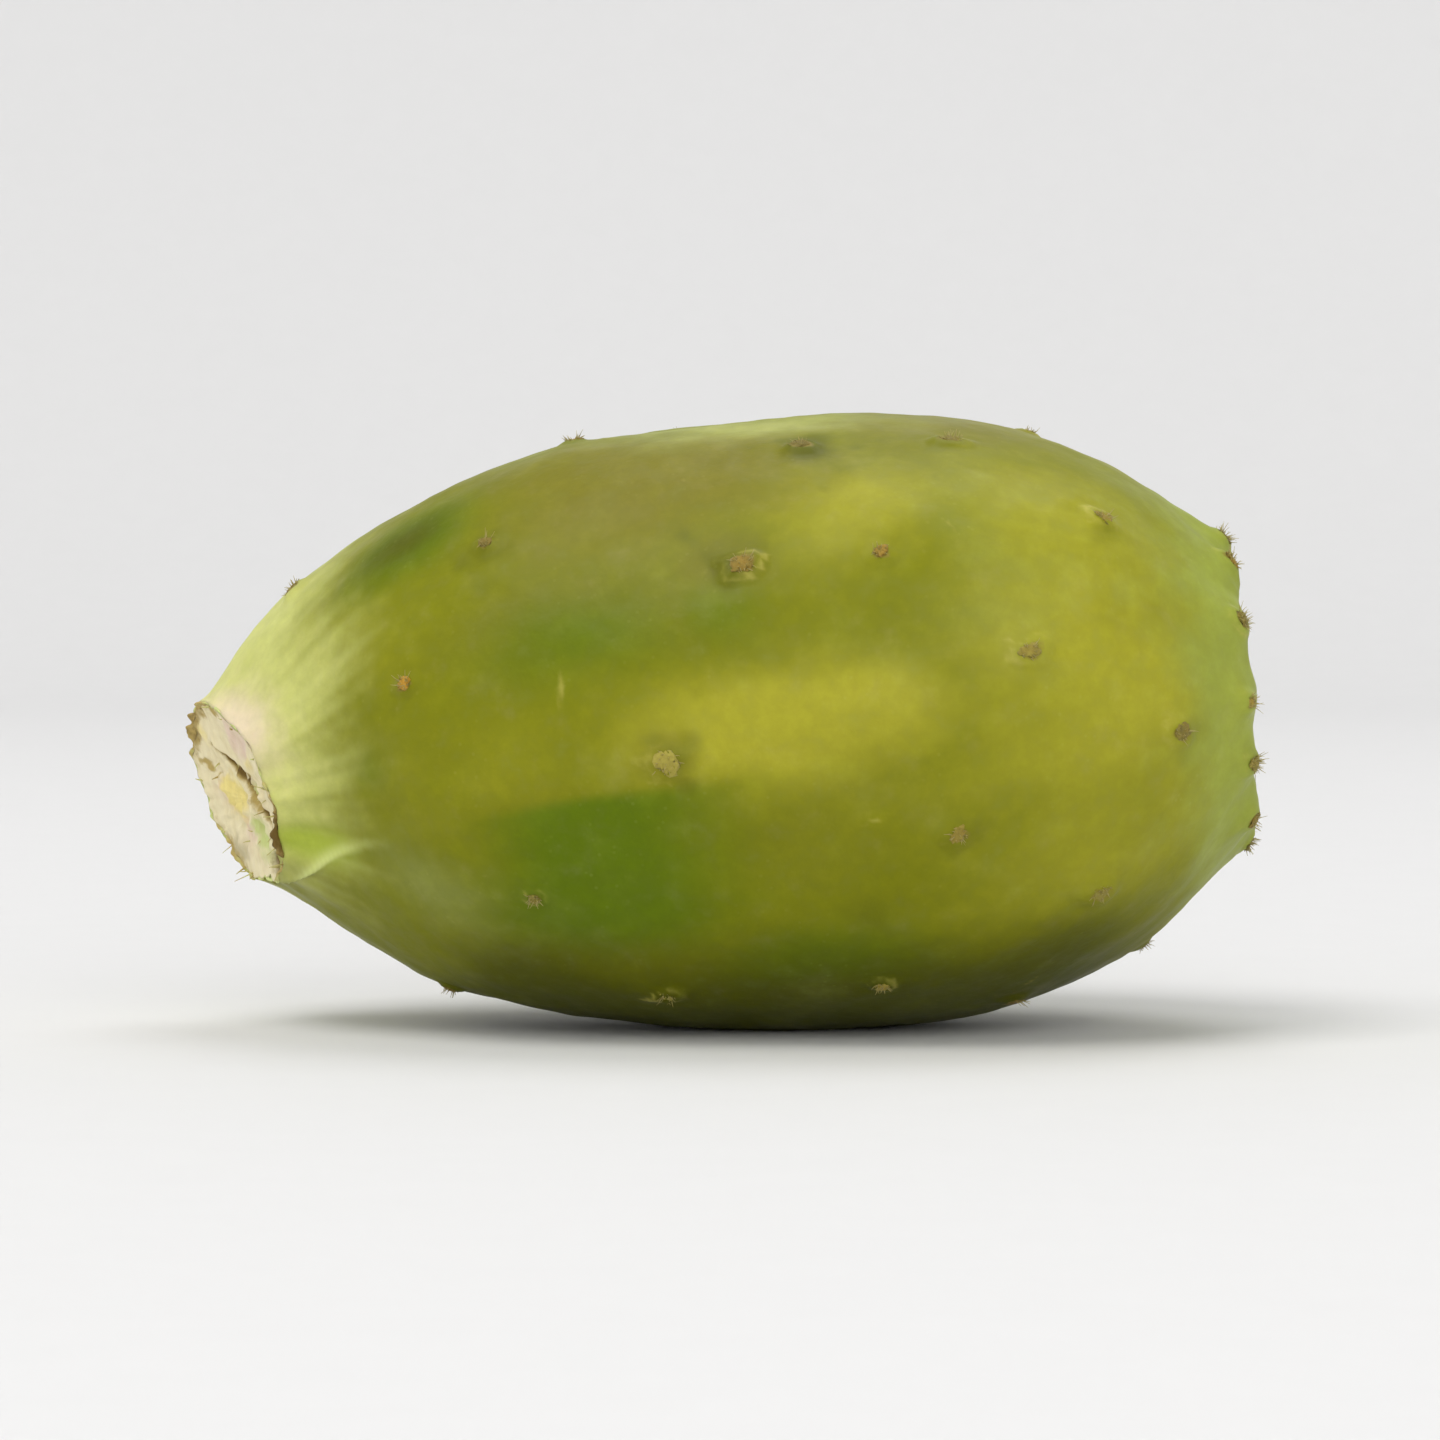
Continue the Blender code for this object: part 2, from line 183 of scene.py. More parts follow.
class PearShape(PropertyGroup):
    """The solid's outline, its bend and cut at the stem, and how it lies."""

    widest_radius: length("Widest radius", "Radius of the body at its widest", 28)
    stem_reach: length("Stem reach", "Half axis of the body towards the stem", 61)
    crown_reach: length("Crown reach", "Half axis of the body towards the crown", 36.5)
    scar_radius: length("Scar radius", "Radius of the cut at the stem end", 7.8)
    crown_radius: length("Crown radius", "Radius where the body meets the crown's lip", 12.3)
    lip_round: length("Lip rounding", "Radius of the crown's lip", 1.7)
    lip_turn: bearing("Lip turn", "How far the lip turns in", 98)
    hollow_depth: length("Hollow depth", "Depth of the crown's hollow below its lip", 4)
    neck_depth: length("Neck depth", "How much the neck behind the cut is drawn in", 1.6)
    neck_along: length("Neck place", "Distance of the neck from the cut", 3.5)
    bend_length: length("Bend length", "Length over which the stem end's bend dies away", 16.5)
    droop: length("Droop", "How far the stem end droops", 2)
    forward: length("Forward", "How far the stem end comes to the front", 2)
    slant_length: length("Slant length", "Length over which the cut's slant dies away", 14)
    lean_down: number("Lean down", "Slope of the cut towards the ground", 0.25)
    lean_front: number("Lean to the front", "Slope of the cut towards the front", 0.46)
    shoulder_height: length("Shoulder height", "How much fuller the upper side is towards the stem", 2.6)
    shoulder_along: length("Shoulder place", "Distance of the shoulder from the cut", 22.5)
    shoulder_length: length("Shoulder length", "Length over which the shoulder dies away", 23.5)
    pucker_height: length("Pucker height", "Height of the skin's puckers round the cut", 0.35)
    pucker_length: length("Pucker length", "Length over which the puckers die away", 6.5)
    fold_height: length("Fold height", "Height of the long fold from the cut's lower edge", 0.8)
    fold_width: length("Fold width", "Half width of the long fold", 1.2)
    fold_length: length("Fold length", "Length over which the long fold dies away", 9)
    rest_along: length("Rest place", "Distance from the cut to where the fruit rests", 47.2)
    rest_sink: length("Rest flat", "How deep the resting flat is cut", 0.38)
    rest_clear: length("Rest clearing", "Width of the even skin round the flat", 15)


class PearAreoles(PropertyGroup):
    """The areoles: their spacing, their cushions, and the felt and bristle stubs that they hold."""

    skin_each: number("Skin each", "Area of skin that each areole has", 262 * MM ** 2, unit="AREA",
                      precision=7)
    first_turn: bearing("First turn", "Angle where the spiral starts", 28)
    spacing: length("Least spacing", "Least distance from an areole that is seen in the front", 11)
    lip_count: whole("On the lip", "Areoles on the crown's lip", 13, 3)
    long_half: length("Cushion length", "Half length of a cushion", 1.8)
    wide_half: length("Cushion width", "Half width of a cushion", 1.5)
    height: length("Cushion height", "Height of a cushion", 0.42)
    swell: length("Swelling height", "Height of the low swelling under a cushion", 0.28)
    crown_swell: length("Crown swelling", "How much higher a swelling is next to the crown", 0.3)
    crown_reach: length("Crown swelling reach", "Distance from the crown over which that dies away", 12)
    swell_width: length("Swelling width", "Width of the low swelling", 4.6)
    lip_swell: length("Lip swelling height", "Height of a swelling on the crown's lip", 1.0)
    lip_swell_width: length("Lip swelling width", "Width of a swelling on the crown's lip", 3.0)
    stubs: whole("Bristle stubs", "Broken bristles on an areole, at most", 30, 1)
    lip_stubs: whole("Lip bristle stubs", "Broken bristles on a lip areole, at most", 44, 1)
    stub_length: length("Stub length", "Mean length of a broken bristle", 0.55)
    stub_radius: length("Stub radius", "Radius of a broken bristle at its root", 0.05)
    seed: whole("Seed", "Seed of the draws", 11)


class PearColours(PropertyGroup):
    """Colours of the rind and of the dry parts."""

    green: colour("Green", "Main colour of the rind", "#797C07")
    yellow: colour("Yellow green", "Riper patches of the rind", "#A6A22B")
    # Olive: sun-browned skin; its patches beside two areoles are painted shade.
    olive: colour("Olive", "Sun-browned upper side", "#7B7621")
    # Deep green patches, and painted shade below the front ridge, on the shoulder and low on the fruit.
    deep: colour("Deep green", "Shaded patches of the rind", "#5E7300")
    # Darkest painted shade: on the underside, on the shoulder and beside the areole at 53.6 mm.
    painted_dark_shade: colour("Underside", "The side that the sun never reached", "#525500")
    # Wax bloom, and painted sheen low on the front near the stem and along the top edge.
    bloom_and_sheen: colour("Bloom", "Film of wax that was not rubbed off", "#8F964C")
    stem_pale: colour("Pale stem end", "Young skin next to the cut", "#C9CC77")
    crease_green: colour("Crease green", "Fresh green in the crease beside the cut", "#ABBB3E")
    crown_green: colour("Crown green", "Cool green of the crown's rim", "#9BA748")
    fold_pale: colour("Fold crest", "Stretched skin on the crest of the long fold", "#DCE491")
    # Painted shade on one side of an areole's cushion.
    shade_halo: colour("Halo", "Dark skin beside an areole", "#62650F")
    rim: colour("Cushion rim", "Pale corky rim of an areole", "#B5AC52")
    cork: colour("Cork", "Dead tissue of an areole", "#8B7B36")
    felt: colour("Felt", "Felt of an areole", "#756A2C")
    felt_warm: colour("Warm felt", "Felt of an areole that was rubbed bare", "#C79833")
    felt_pale: colour("Pale felt", "Felt of an areole that the sun has bleached", "#B2A747")
    stub: colour("Bristle stub", "Broken bristles", "#BBAC68")
    cut: colour("Cut face", "Dried flesh of the cut", "#F3E8C0")
    cut_pink: colour("Cut blush", "Pinker flesh of the cut", "#EDD5C2")
    cut_yellow: colour("Cut yellow", "Yolk-coloured flesh of the cut", "#F4E390")
    cut_green: colour("Cut green", "Fresher flesh of the cut", "#CFDA8C")
    # Painted shadow on the lower left of the cut face.
    cut_grey: colour("Cut grey", "Withered flesh of the cut", "#BFB48E")
    torn: colour("Torn edge", "Dead skin at the edge of the cut", "#6B5218")
    torn_light: colour("Torn edge, light", "Thin places of the dead skin", "#B9A25E")
    flower: colour("Flower scar", "Cork where the flower fell off", "#A99A62")
    flower_dark: colour("Flower scar cracks", "Dark cracks of the flower scar", "#5E4C25")


class PearStage(PropertyGroup):
    """The floor, the lights and the camera."""

    floor: colour("Floor", "Colour of the floor", "#E1E1E1")
    elevation: bearing("Elevation", "Camera's height above the horizon", 2)
    lens: number("Lens", "Focal length in mm", 135, min=1)
    filled: number("Filled width", "Share of the picture's width that the fruit takes", 0.74,
                   subtype="FACTOR", min=0.1, max=1)
    light: number("Light", "Strength of all the lights", 1, min=0)


def smooth(value, start=0, over=1):
    """A smooth step from 0 to 1 as a value goes from a start on over this much."""
    t = np.clip((value - start) / over, 0, 1)
    return t * t * (3 - 2 * t)


def bell(distance, width):
    """1 in the middle, falling smoothly to about a third at this width and to nothing past twice it."""
    return np.exp(-(distance / width) ** 2)


def turned_from(angle, degrees):
    """How far an angle is turned from this many degrees above the front, the short way round."""
    return np.mod(angle - math.radians(degrees) + math.pi, TURN) - math.pi


def bell_round(angle, degrees, half_turn):
    """A bell round the fruit, with its middle and its half width in degrees."""
    return bell(turned_from(angle, degrees), math.radians(half_turn))


def patch_at(along, angle, mm, degrees, half_length, half_turn):
    """A bell along the fruit, with its middle and its half length in millimetres, times a bell round it."""
    return bell(along - mm * MM, half_length * MM) * bell_round(angle, degrees, half_turn)


def polar(radius, angle, up=0):
    """Points at a radius and an angle round an axis, and at a height along it."""
    return np.stack(np.broadcast_arrays(radius * np.cos(angle), radius * np.sin(angle), up), -1)


def unit(vectors):
    """Vectors that point the same way and are 1 long."""
    return vectors / np.maximum(np.linalg.norm(vectors, axis=-1, keepdims=True), 1e-12)


def ripple(points, size, seed, count=14):
    """Smooth unevenness of about unit height: the sum of plane waves about this long, each with a drawn
    direction and phase, over the root of half their number."""
    draw = np.random.default_rng(seed)
    total = np.zeros(points.shape[:-1])
    for _ in range(count):
        way = draw.normal(size=3)
        way *= TURN / (np.linalg.norm(way) * size * draw.uniform(0.7, 1.5))
        total += np.cos(points @ way + draw.uniform(0, TURN))
    return total / math.sqrt(count / 2)


def widest_along(shape):
    """Distance from the cut to the widest circle, where the two half ellipses meet."""
    return shape.stem_reach * math.sqrt(1 - (shape.scar_radius / shape.widest_radius) ** 2)


def lip_along(shape):
    """Distance from the cut to the edge where the body meets the crown's lip."""
    narrowed = (shape.crown_radius / shape.widest_radius) ** 2
    return widest_along(shape) + shape.crown_reach * math.sqrt(1 - narrowed)


def radius_at(shape, along):
    """Radius of the two half ellipses at a distance from the cut."""
    middle = widest_along(shape)
    reach = np.where(along < middle, shape.stem_reach, shape.crown_reach)
    return shape.widest_radius * np.sqrt(np.clip(1 - ((along - middle) / reach) ** 2, 0, 1))


def outline(shape, rings, steps=400):
    """Distances along and radii of the turned outline, evenly spaced over its length: half ellipses for the
    body, an arc over the lip, and a Bezier curve down to the middle of the hollow."""
    first = math.asin(shape.scar_radius / shape.widest_radius)
    last = math.pi - math.asin(shape.crown_radius / shape.widest_radius)
    turn = np.linspace(first, last, steps)
    reach = np.where(turn < math.pi / 2, shape.stem_reach, shape.crown_reach)
    body = np.stack([widest_along(shape) - reach * np.cos(turn), shape.widest_radius * np.sin(turn)], 1)

    heading = math.atan2(shape.widest_radius * math.cos(last), shape.crown_reach * math.sin(last))
    centre = body[-1] + shape.lip_round * np.array([math.sin(heading), -math.cos(heading)])
    swing = heading + math.pi / 2 - np.linspace(0, shape.lip_turn, steps // 8)
    lip = centre + shape.lip_round * np.stack([np.cos(swing), np.sin(swing)], 1)

    leave = np.array([math.cos(heading - shape.lip_turn), math.sin(heading - shape.lip_turn)])
    middle = np.array([centre[0] + shape.lip_round - shape.hollow_depth, 0])
    steep, level = 0.6 * shape.hollow_depth, 0.55 * lip[-1][1]
    pull, hold = lip[-1] + leave * steep, middle + [0, level]
    t = np.linspace(0, 1, steps // 4)[:, None]
    s = 1 - t
    hollow = s ** 3 * lip[-1] + 3 * s ** 2 * t * pull + 3 * s * t ** 2 * hold + t ** 3 * middle

    line = np.concatenate([body, lip[1:], hollow[1:]])
    run = np.concatenate([[0], np.cumsum(np.linalg.norm(np.diff(line, axis=0), axis=1))])
    even = np.linspace(0, run[-1], rings)
    return np.interp(even, run, line[:, 0]), np.interp(even, run, line[:, 1])


def stem_relief(shape, along, angle):
    """Height over the turned body near the cut: the neck dips, puckers are seven uneven waves round the cut
    that die away along the skin, and the long fold is a bell-shaped ridge on a crest that curves round."""
    along = np.maximum(along, 0)
    neck = shape.neck_depth * along / shape.neck_along * np.exp(1 - along / shape.neck_along)
    wave = np.cos(7 * angle + 1.3 * np.sin(2 * angle) + 0.8)
    pucker = shape.pucker_height * wave * np.exp(-along / shape.pucker_length)
    return pucker + shape.fold_height * fold(shape, along, angle) - neck


def fold(shape, along, angle):
    """1 on the crest of the long fold at the cut, falling to 0 beside it and along it. The crest starts at
    74 degrees below the front and turns up to 16 degrees below it, most of that in the first 2.4 mm."""
    along = np.maximum(along, 0)
    crest = np.radians(-16) - np.radians(58) * np.exp(-along / (2.4 * MM))
    round_by = np.mod(angle - crest + math.pi, TURN) - math.pi
    aside = np.maximum(radius_at(shape, along), shape.scar_radius) * round_by
    return bell(aside, shape.fold_width) * bell(along, shape.fold_length)


def lumps(shape, along, angle):
    """Broad unevenness: a bell-shaped shoulder on the upper side, and waves round and along the body that
    die away at both ends and over the flat."""
    shoulder = shape.shoulder_height * bell(along - shape.shoulder_along, shape.shoulder_length)
    shoulder = shoulder * ((1 + np.sin(angle)) / 2) ** 2
    t = along / lip_along(shape)
    waves = sum(height * MM * np.cos(count * angle + twist * t + phase)
                for height, count, twist, phase in LUMP_WAVES)
    away = np.hypot(along - shape.rest_along, shape.widest_radius * turned_from(angle, -90))
    return shoulder + waves * np.sin(np.clip(t, 0, 1) * math.pi) * (1 - bell(away, shape.rest_clear))


def place(shape, along, radius, angle):
    """Points of the turned outline where they lie: swelled, slanted and drooped near the stem, then tilted
    so that the underside is level over the flat. The angle is 0 at the front and a right angle on top."""
    relief = lumps(shape, along, angle) + stem_relief(shape, along, angle)
    grown = radius * (1 + relief / np.maximum(radius_at(shape, along), shape.scar_radius))
    front, up = grown * np.cos(angle), grown * np.sin(angle)
    slant, bend = bell(along, shape.slant_length), bell(along, shape.bend_length)
    ahead = along + slant * (shape.lean_front * front - shape.lean_down * up) - shape.rest_along
    front = front + shape.forward * bend
    up = up - shape.droop * bend + float(radius_at(shape, shape.rest_along))
    part = (widest_along(shape) - shape.rest_along) / shape.stem_reach
    tilt = math.atan(shape.widest_radius / shape.stem_reach * part / math.sqrt(1 - part ** 2))
    x = ahead * math.cos(tilt) - up * math.sin(tilt)
    z = ahead * math.sin(tilt) + up * math.cos(tilt)
    return np.stack([x, -front, z - shape.rest_sink], -1)


def apart(shape, one, other):
    """Distance over the skin between two places on the body."""
    radius = float(radius_at(shape, (one[0] + other[0]) / 2))
    return math.hypot(one[0] - other[0], radius * math.remainder(one[1] - other[1], TURN))


def areole_places(shape, spots):
    """Distances along and angles of the areoles, and how many of them are on the body. Those seen come
    first, then the body's golden-angle spiral with an equal share of skin each, except next to those seen,
    the bare places, the flat and both ends, then those on the lip, where each is moved a little by a draw."""
    end_gap, behind_lip, moved, samples = 6 * MM, 0.8 * MM, 0.16, 600
    lip = lip_along(shape)
    along = np.linspace(0, lip, samples)
    radius = np.maximum(radius_at(shape, along), shape.scar_radius)
    ring = math.pi * (radius[1:] + radius[:-1]) * np.hypot(np.diff(along), np.diff(radius))
    skin = np.concatenate([[0], np.cumsum(ring)])
    order = np.arange(int(skin[-1] / spots.skin_each))
    spiral = zip(np.interp((order + 0.5) * spots.skin_each, skin, along).tolist(),
                 (spots.first_turn - order * GOLDEN_ANGLE).tolist())
    seen, bare = ([(mm * MM, math.radians(degrees)) for mm, degrees, *_ in rows]
                  for rows in (SEEN_AREOLES, BARE_PLACES))
    taken = [*seen, *bare, (shape.rest_along, -math.pi / 2)]
    body = seen + [spot for spot in spiral if end_gap < spot[0] < lip - end_gap
                   and all(apart(shape, spot, other) > spots.spacing for other in taken)]

    draw = np.random.default_rng(spots.seed)
    step = TURN / spots.lip_count
    on_lip = [(lip - behind_lip, (k + draw.uniform(-moved, moved)) * step) for k in range(spots.lip_count)]
    return np.array(body + on_lip), len(body)


def areoles(shape, spots):
    """Every areole's place, its directions along, round and out of the skin, and its looks. Its oval is
    turned and narrowed by a draw. The looks of those that are seen are given, and the others are drawn."""
    places, body = areole_places(shape, spots)
    along, angle = places.T
    count = len(places)
    on_lip = np.arange(count) >= body

    def skin(s, a):
        return place(shape, s, radius_at(shape, s), a)

    step, turn = 0.2 * MM, 0.01
    ahead = unit(skin(along + step, angle) - skin(along - step, angle))
    out = unit(np.cross(ahead, skin(along, angle + turn) - skin(along, angle - turn)))
    round_by = np.cross(out, ahead)

    draw = np.random.default_rng(spots.seed + 1)
    size = np.where(on_lip, draw.uniform(0.70, 0.92, count), draw.uniform(0.70, 1.10, count))
    looks = {"size": size, "rim": draw.uniform(0.1, 0.9, count), "shade_halo": draw.uniform(0.0, 0.6, count),
             "side": draw.uniform(0, TURN, count), "warmth": draw.uniform(0, 0.5, count)}
    twist = draw.uniform(-0.5, 0.5, count)[:, None]
    narrow = draw.uniform(0.8, 1.1, count)
    looks["pale"] = draw.uniform(0, 0.6, count)
    looks["shade_halo"] = looks["shade_halo"] * np.where(on_lip, 0.3, 1)
    given = np.array(SEEN_AREOLES)[:, 2:].T
    for look, values in zip(("size", "rim", "shade_halo", "side", "warmth", "pale"), given):
        looks[look][:len(values)] = np.radians(values) if look == "side" else values
    crown_share = bell(lip_along(shape) - along, spots.crown_reach)
    swell = np.where(on_lip, spots.lip_swell, spots.swell + spots.crown_swell * crown_share)
    return {**looks, "at": skin(along, angle), "out": out, "lip": on_lip, "narrow": narrow,
            "ahead": np.cos(twist) * ahead + np.sin(twist) * round_by,
            "round": np.cos(twist) * round_by - np.sin(twist) * ahead,
            "swell": swell, "raised": swell + front_ridge(along, angle),
            "width": np.where(on_lip, spots.lip_swell_width, spots.swell_width)}


def areole_relief(points, marks, spots):
    """Height over the skin and three masks. With e the distance from an areole over its own uneven oval: a
    bell under it, a flat-topped cushion that falls off about e = 0.8, a pit inside e = 0.5, and a faint moat
    at e = 1.5. The masks are painted shade to one side, the pale rim, brighter on the other side as a painted
    highlight, and the dead tissue in its middle."""
    reach, far_off, moat = 4 * spots.long_half, 9, 0.06 * MM
    halo_out, halo_width = 0.8 * spots.long_half, 1.3 * spots.long_half
    height, bells, shade_halo, rim, dead = (np.zeros(points.shape[:-1]) for _ in range(5))
    wobble = 1 + 0.13 * ripple(points, 2.6 * MM, seed=5)
    ragged = 1 + 0.12 * ripple(points, 0.9 * MM, seed=6)
    cloudy = np.exp(0.28 * ripple(points, 3.4 * MM, seed=7))
    for k, at in enumerate(marks["at"]):
        size, side = marks["size"][k], marks["side"][k]
        away = points - at
        far = np.linalg.norm(away, axis=-1)
        ahead, aside = away @ marks["ahead"][k], away @ marks["round"][k]
        e = np.hypot(ahead / spots.long_half, aside / (spots.wide_half * marks["narrow"][k])) / size * wobble
        e = np.where(far < reach, e, far_off)
        bells += (marks["swell"][k] * bell(far, marks["width"][k])) ** 4
        cushion = 1 - smooth(e, 0.45, 0.75)
        pit = 1 - smooth(e * ragged, 0.22, 0.38)
        height += spots.height * size * (cushion - 0.40 * pit) - moat * bell(e - 1.5, 0.3)
        # Painted shade to one side of the cushion, and its pale rim, brighter on the other side as a painted
        # highlight.
        towards = (math.cos(side) * ahead + math.sin(side) * aside) / spots.long_half
        beside = np.hypot(ahead - halo_out * math.cos(side), aside - halo_out * math.sin(side))
        shade_halo += marks["shade_halo"][k] * bell(beside * cloudy, halo_width)
        rim += marks["rim"][k] * bell(e * ragged - 0.85, 0.26) * (0.7 - 0.3 * np.clip(towards, -1, 1))
        dead += (1 - 0.8 * marks["pale"][k]) * (1 - smooth(e * ragged, 0.34, 0.34))
    masks = {"shade_halo": shade_halo, "rim": rim, "dead": dead}
    return bells ** 0.25 + height, {name: np.clip(values, 0, 1) for name, values in masks.items()}


def from_ridge(along, angle):
    """How far an angle is turned up from the low ridge along the front. The ridge lies 8 degrees below the
    front at 21 mm from the cut, and turns up by a fifth of a degree for each millimetre."""
    return turned_from(angle, 0) - np.radians(-8 + 0.2 * (along / MM - 21))


def front_ridge(along, angle):
    """Height of the low ridge along the front: a bell round its crest that dies away along the fruit."""
    height, half_turn, middle, half_length = 0.3 * MM, math.radians(9), 33 * MM, 15 * MM
    return height * bell(from_ridge(along, angle), half_turn) * bell(along - middle, half_length)


def rind_zones(shape, points, along, angle):
    """Where the rind's colour differs, from 0 to 1. A zone is the highest of its patches. Deep green painted
    shade lies below the front ridge, darker painted shade on the underside, and the back is yellower. The
    skin next to the cut is pale in streaks, except underneath and in a blotch, and the crown's rim is a
    cooler green."""
    zones = {name: np.max([strength * patch_at(along, angle, *patch) for *patch, strength in rows], axis=0)
             for name, rows in PATCHES.items()}

    # Painted shade: deep green starts just below the ridge, and darker shade 30 degrees below the front,
    # clear of both ends.
    above = from_ridge(along, angle)
    to_lip = lip_along(shape) - along
    shade = smooth(-above, 0, math.radians(4.5)) * smooth(above, -math.radians(50), math.radians(25))
    ends = smooth(along, 8 * MM, 18 * MM) * smooth(to_lip, 0, 22 * MM)
    for name, zone in (("deep", shade * bell(along - 33 * MM, 12 * MM)),
                       ("painted_dark_shade", smooth(-np.sin(angle), 0.5, 0.4) * ends),
                       ("yellow", 0.35 * smooth(-np.cos(angle), 0, 0.3))):
        zones[name] = np.maximum(zones[name], zone)

    # The pale stem end fades from 6 to 21 mm behind its tip, and its streaks reach a few mm more or less.
    ring = polar(1, angle)
    streaks = MM * (1.0 * ripple(ring, 0.35, seed=8) + 0.5 * ripple(ring, 0.12, seed=9))
    from_tip = points[..., 0] - points[..., 0].min() + streaks
    underside = bell_round(angle, -88, 37)
    blotch = patch_at(along, angle, 9.3, 4, 3, 9)
    zones["stem"] = (1 - smooth(from_tip, 6.2 * MM, 15.2 * MM)) * (1 - 0.75 * underside - 0.45 * blotch)
    zones["crown"] = bell(np.maximum(to_lip, 0), 7 * MM)
    zones["fold"] = fold(shape, along, angle) ** 2 * smooth(along, 0, 1.5 * MM) * bell(along - 4 * MM, 7 * MM)
    return zones


def near_chain(front, up, chain):
    """How near points of the cut face are to a chain of straight stretches, all in millimetres: 1 on it,
    falling as a bell over the half width that the chain has there."""
    nearness = 0
    for (x, y, width), (next_x, next_y, next_width) in zip(chain, chain[1:]):
        run_x, run_y = next_x - x, next_y - y
        t = np.clip(((front - x) * run_x + (up - y) * run_y) / (run_x ** 2 + run_y ** 2), 0, 1)
        away = np.hypot(front - x - t * run_x, up - y - t * run_y)
        nearness = np.maximum(nearness, bell(away, width + t * (next_width - width)))
    return nearness


def rim_darkness(angle):
    """How dark and thick the dead skin is round the cut, from 0 to 1: the highest of three bells."""
    return np.max([strength * bell_round(angle, degrees, half_turn)
                   for degrees, half_turn, strength in DARK_RIM], axis=0)


def scuffs(shape, along, angle):
    """Healed scuffs, from 0 to 1: each a bell over an oval that is turned on the skin."""
    total = 0
    for mm, degrees, half_length, half_width, turn, strength in SCUFFS:
        ahead, aside = along - mm * MM, radius_at(shape, along) * turned_from(angle, degrees)
        c, s = math.cos(math.radians(turn)), math.sin(math.radians(turn))
        oval = np.hypot((ahead * c + aside * s) / half_length, (aside * c - ahead * s) / half_width) / MM
        total = np.maximum(total, strength * bell(oval, 1))
    return total


def sides_round(sides):
    """Angles of a ring's sides, falling, so that surfaces whose rings run along the fruit face outwards."""
    return np.linspace(TURN, 0, sides, endpoint=False)


def ring_faces(rings, sides):
    """Quads of a surface that closes on itself both ways."""
    row, side = np.meshgrid(np.arange(rings), np.arange(sides), indexing="ij")
    after, below = (side + 1) % sides, (row + 1) % rings
    corners = row * sides + side, row * sides + after, below * sides + after, below * sides + side
    return np.stack(corners, -1).reshape(-1, 4)


def closed_faces(rings, sides):
    """Faces of a surface of closed rings between two single points: fans at both ends, quads between."""
    side = np.arange(sides)
    after = (side + 1) % sides
    first = np.stack([after + 1, side + 1, np.zeros_like(side)], -1)
    last = np.stack([side, after, np.full_like(side, sides)], -1) + (rings - 1) * sides + 1
    return ring_faces(rings, sides)[:-sides] + 1, np.concatenate([first, last])


def copied(faces, copies, points_each):
    """Faces of many copies of a surface, whose points follow each other."""
    start = (np.arange(copies) * points_each)[:, None, None]
    return [(group[None] + start).reshape(-1, group.shape[1]) for group in faces]


def closed_points(start, rings, end):
    """The points that closed_faces() joins, from one end point through the rings to the other."""
    return np.concatenate([np.reshape(start, (1, 3)), rings.reshape(-1, 3), np.reshape(end, (1, 3))])


def piece(name, points, faces, material, masks=None):
    """A smooth piece of these points and faces, that rides on the fruit's body and stands for its solid."""
    mesh = bpy.data.meshes.new(name)
    mesh.from_pydata(points.tolist(), [], [face for group in faces for face in group.tolist()])
    for mask, values in (masks or {}).items():
        mesh.attributes.new(mask, "FLOAT", "POINT").data.foreach_set("value", values.astype(np.float32))
    mesh.shade_smooth()
    mesh.materials.append(material)
    made = bpy.data.objects.new(name, mesh)
    bpy.context.scene.collection.objects.link(made)
    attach(made, "root")
    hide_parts("fruit")


def closed_piece(name, start, rings, end, material, masks):
    """A piece whose surface runs from one end point through its rings to the other. Its masks have a value
    for each point of the rings, and the end points take the value next to them."""
    masks = {mask: np.broadcast_to(values, rings.shape[:2]) for mask, values in masks.items()}
    masks = {mask: np.concatenate([values[0, :1], values.ravel(), values[-1, :1]])
             for mask, values in masks.items()}
    piece(name, closed_points(start, rings, end), closed_faces(*rings.shape[:2]), material, masks)


def fill(tree, node, inputs):
    """Fills a node's inputs, each with a value, with another node's output, or with another node, whose
    first live output is then linked."""
    for name, value in inputs.items():
        if isinstance(value, bpy.types.Node):
            value = next(output for output in value.outputs if output.enabled)
        if isinstance(value, bpy.types.NodeSocket):
            tree.links.new(value, node.inputs[name])
        else:
            node.inputs[name].default_value = value
    return node


def add(tree, kind, inputs=None, **settings):
    """Adds a node with its settings, and fills its inputs."""
    node = tree.nodes.new(kind)
    for name, value in settings.items():
        setattr(node, name, value)
    return fill(tree, node, inputs or {})


def new_material(name):
    """A material with its node tree, its shader and its coordinates in the part's frame."""
    made = bpy.data.materials.new(name)
    made.use_nodes = True
    tree = made.node_tree
    return made, tree, tree.nodes["Principled BSDF"], add(tree, "ShaderNodeTexCoord").outputs["Object"]


def tint(tree, where, under, over, zone, blotch, uneven=0.5, low=0, high=1, most=1):
    """The under colour going over to another where a zone, made uneven by blotches this many millimetres
    across, goes from low to high. The zone is one of the piece's masks, a node, or a level that is the same
    all over."""
    if isinstance(zone, str):
        zone = add(tree, "ShaderNodeAttribute", attribute_name=zone).outputs["Fac"]
    blotches = add(tree, "ShaderNodeTexNoise", {"Vector": where, "Scale": 1 / (blotch * MM), "Detail": 4,
                                                "Roughness": 0.55})
    level = add(tree, "ShaderNodeMath", {0: blotches, 1: uneven, 2: zone}, operation="MULTIPLY_ADD")
    amount = add(tree, "ShaderNodeMapRange", {"Value": level, 1: low + uneven / 2, 2: high + uneven / 2,
                                              4: most}, interpolation_type="SMOOTHSTEP")
    under, over = (value if isinstance(value, bpy.types.Node) else (*value, 1) for value in (under, over))
    return add(tree, "ShaderNodeMix", {0: amount, 6: under, 7: over}, data_type="RGBA")


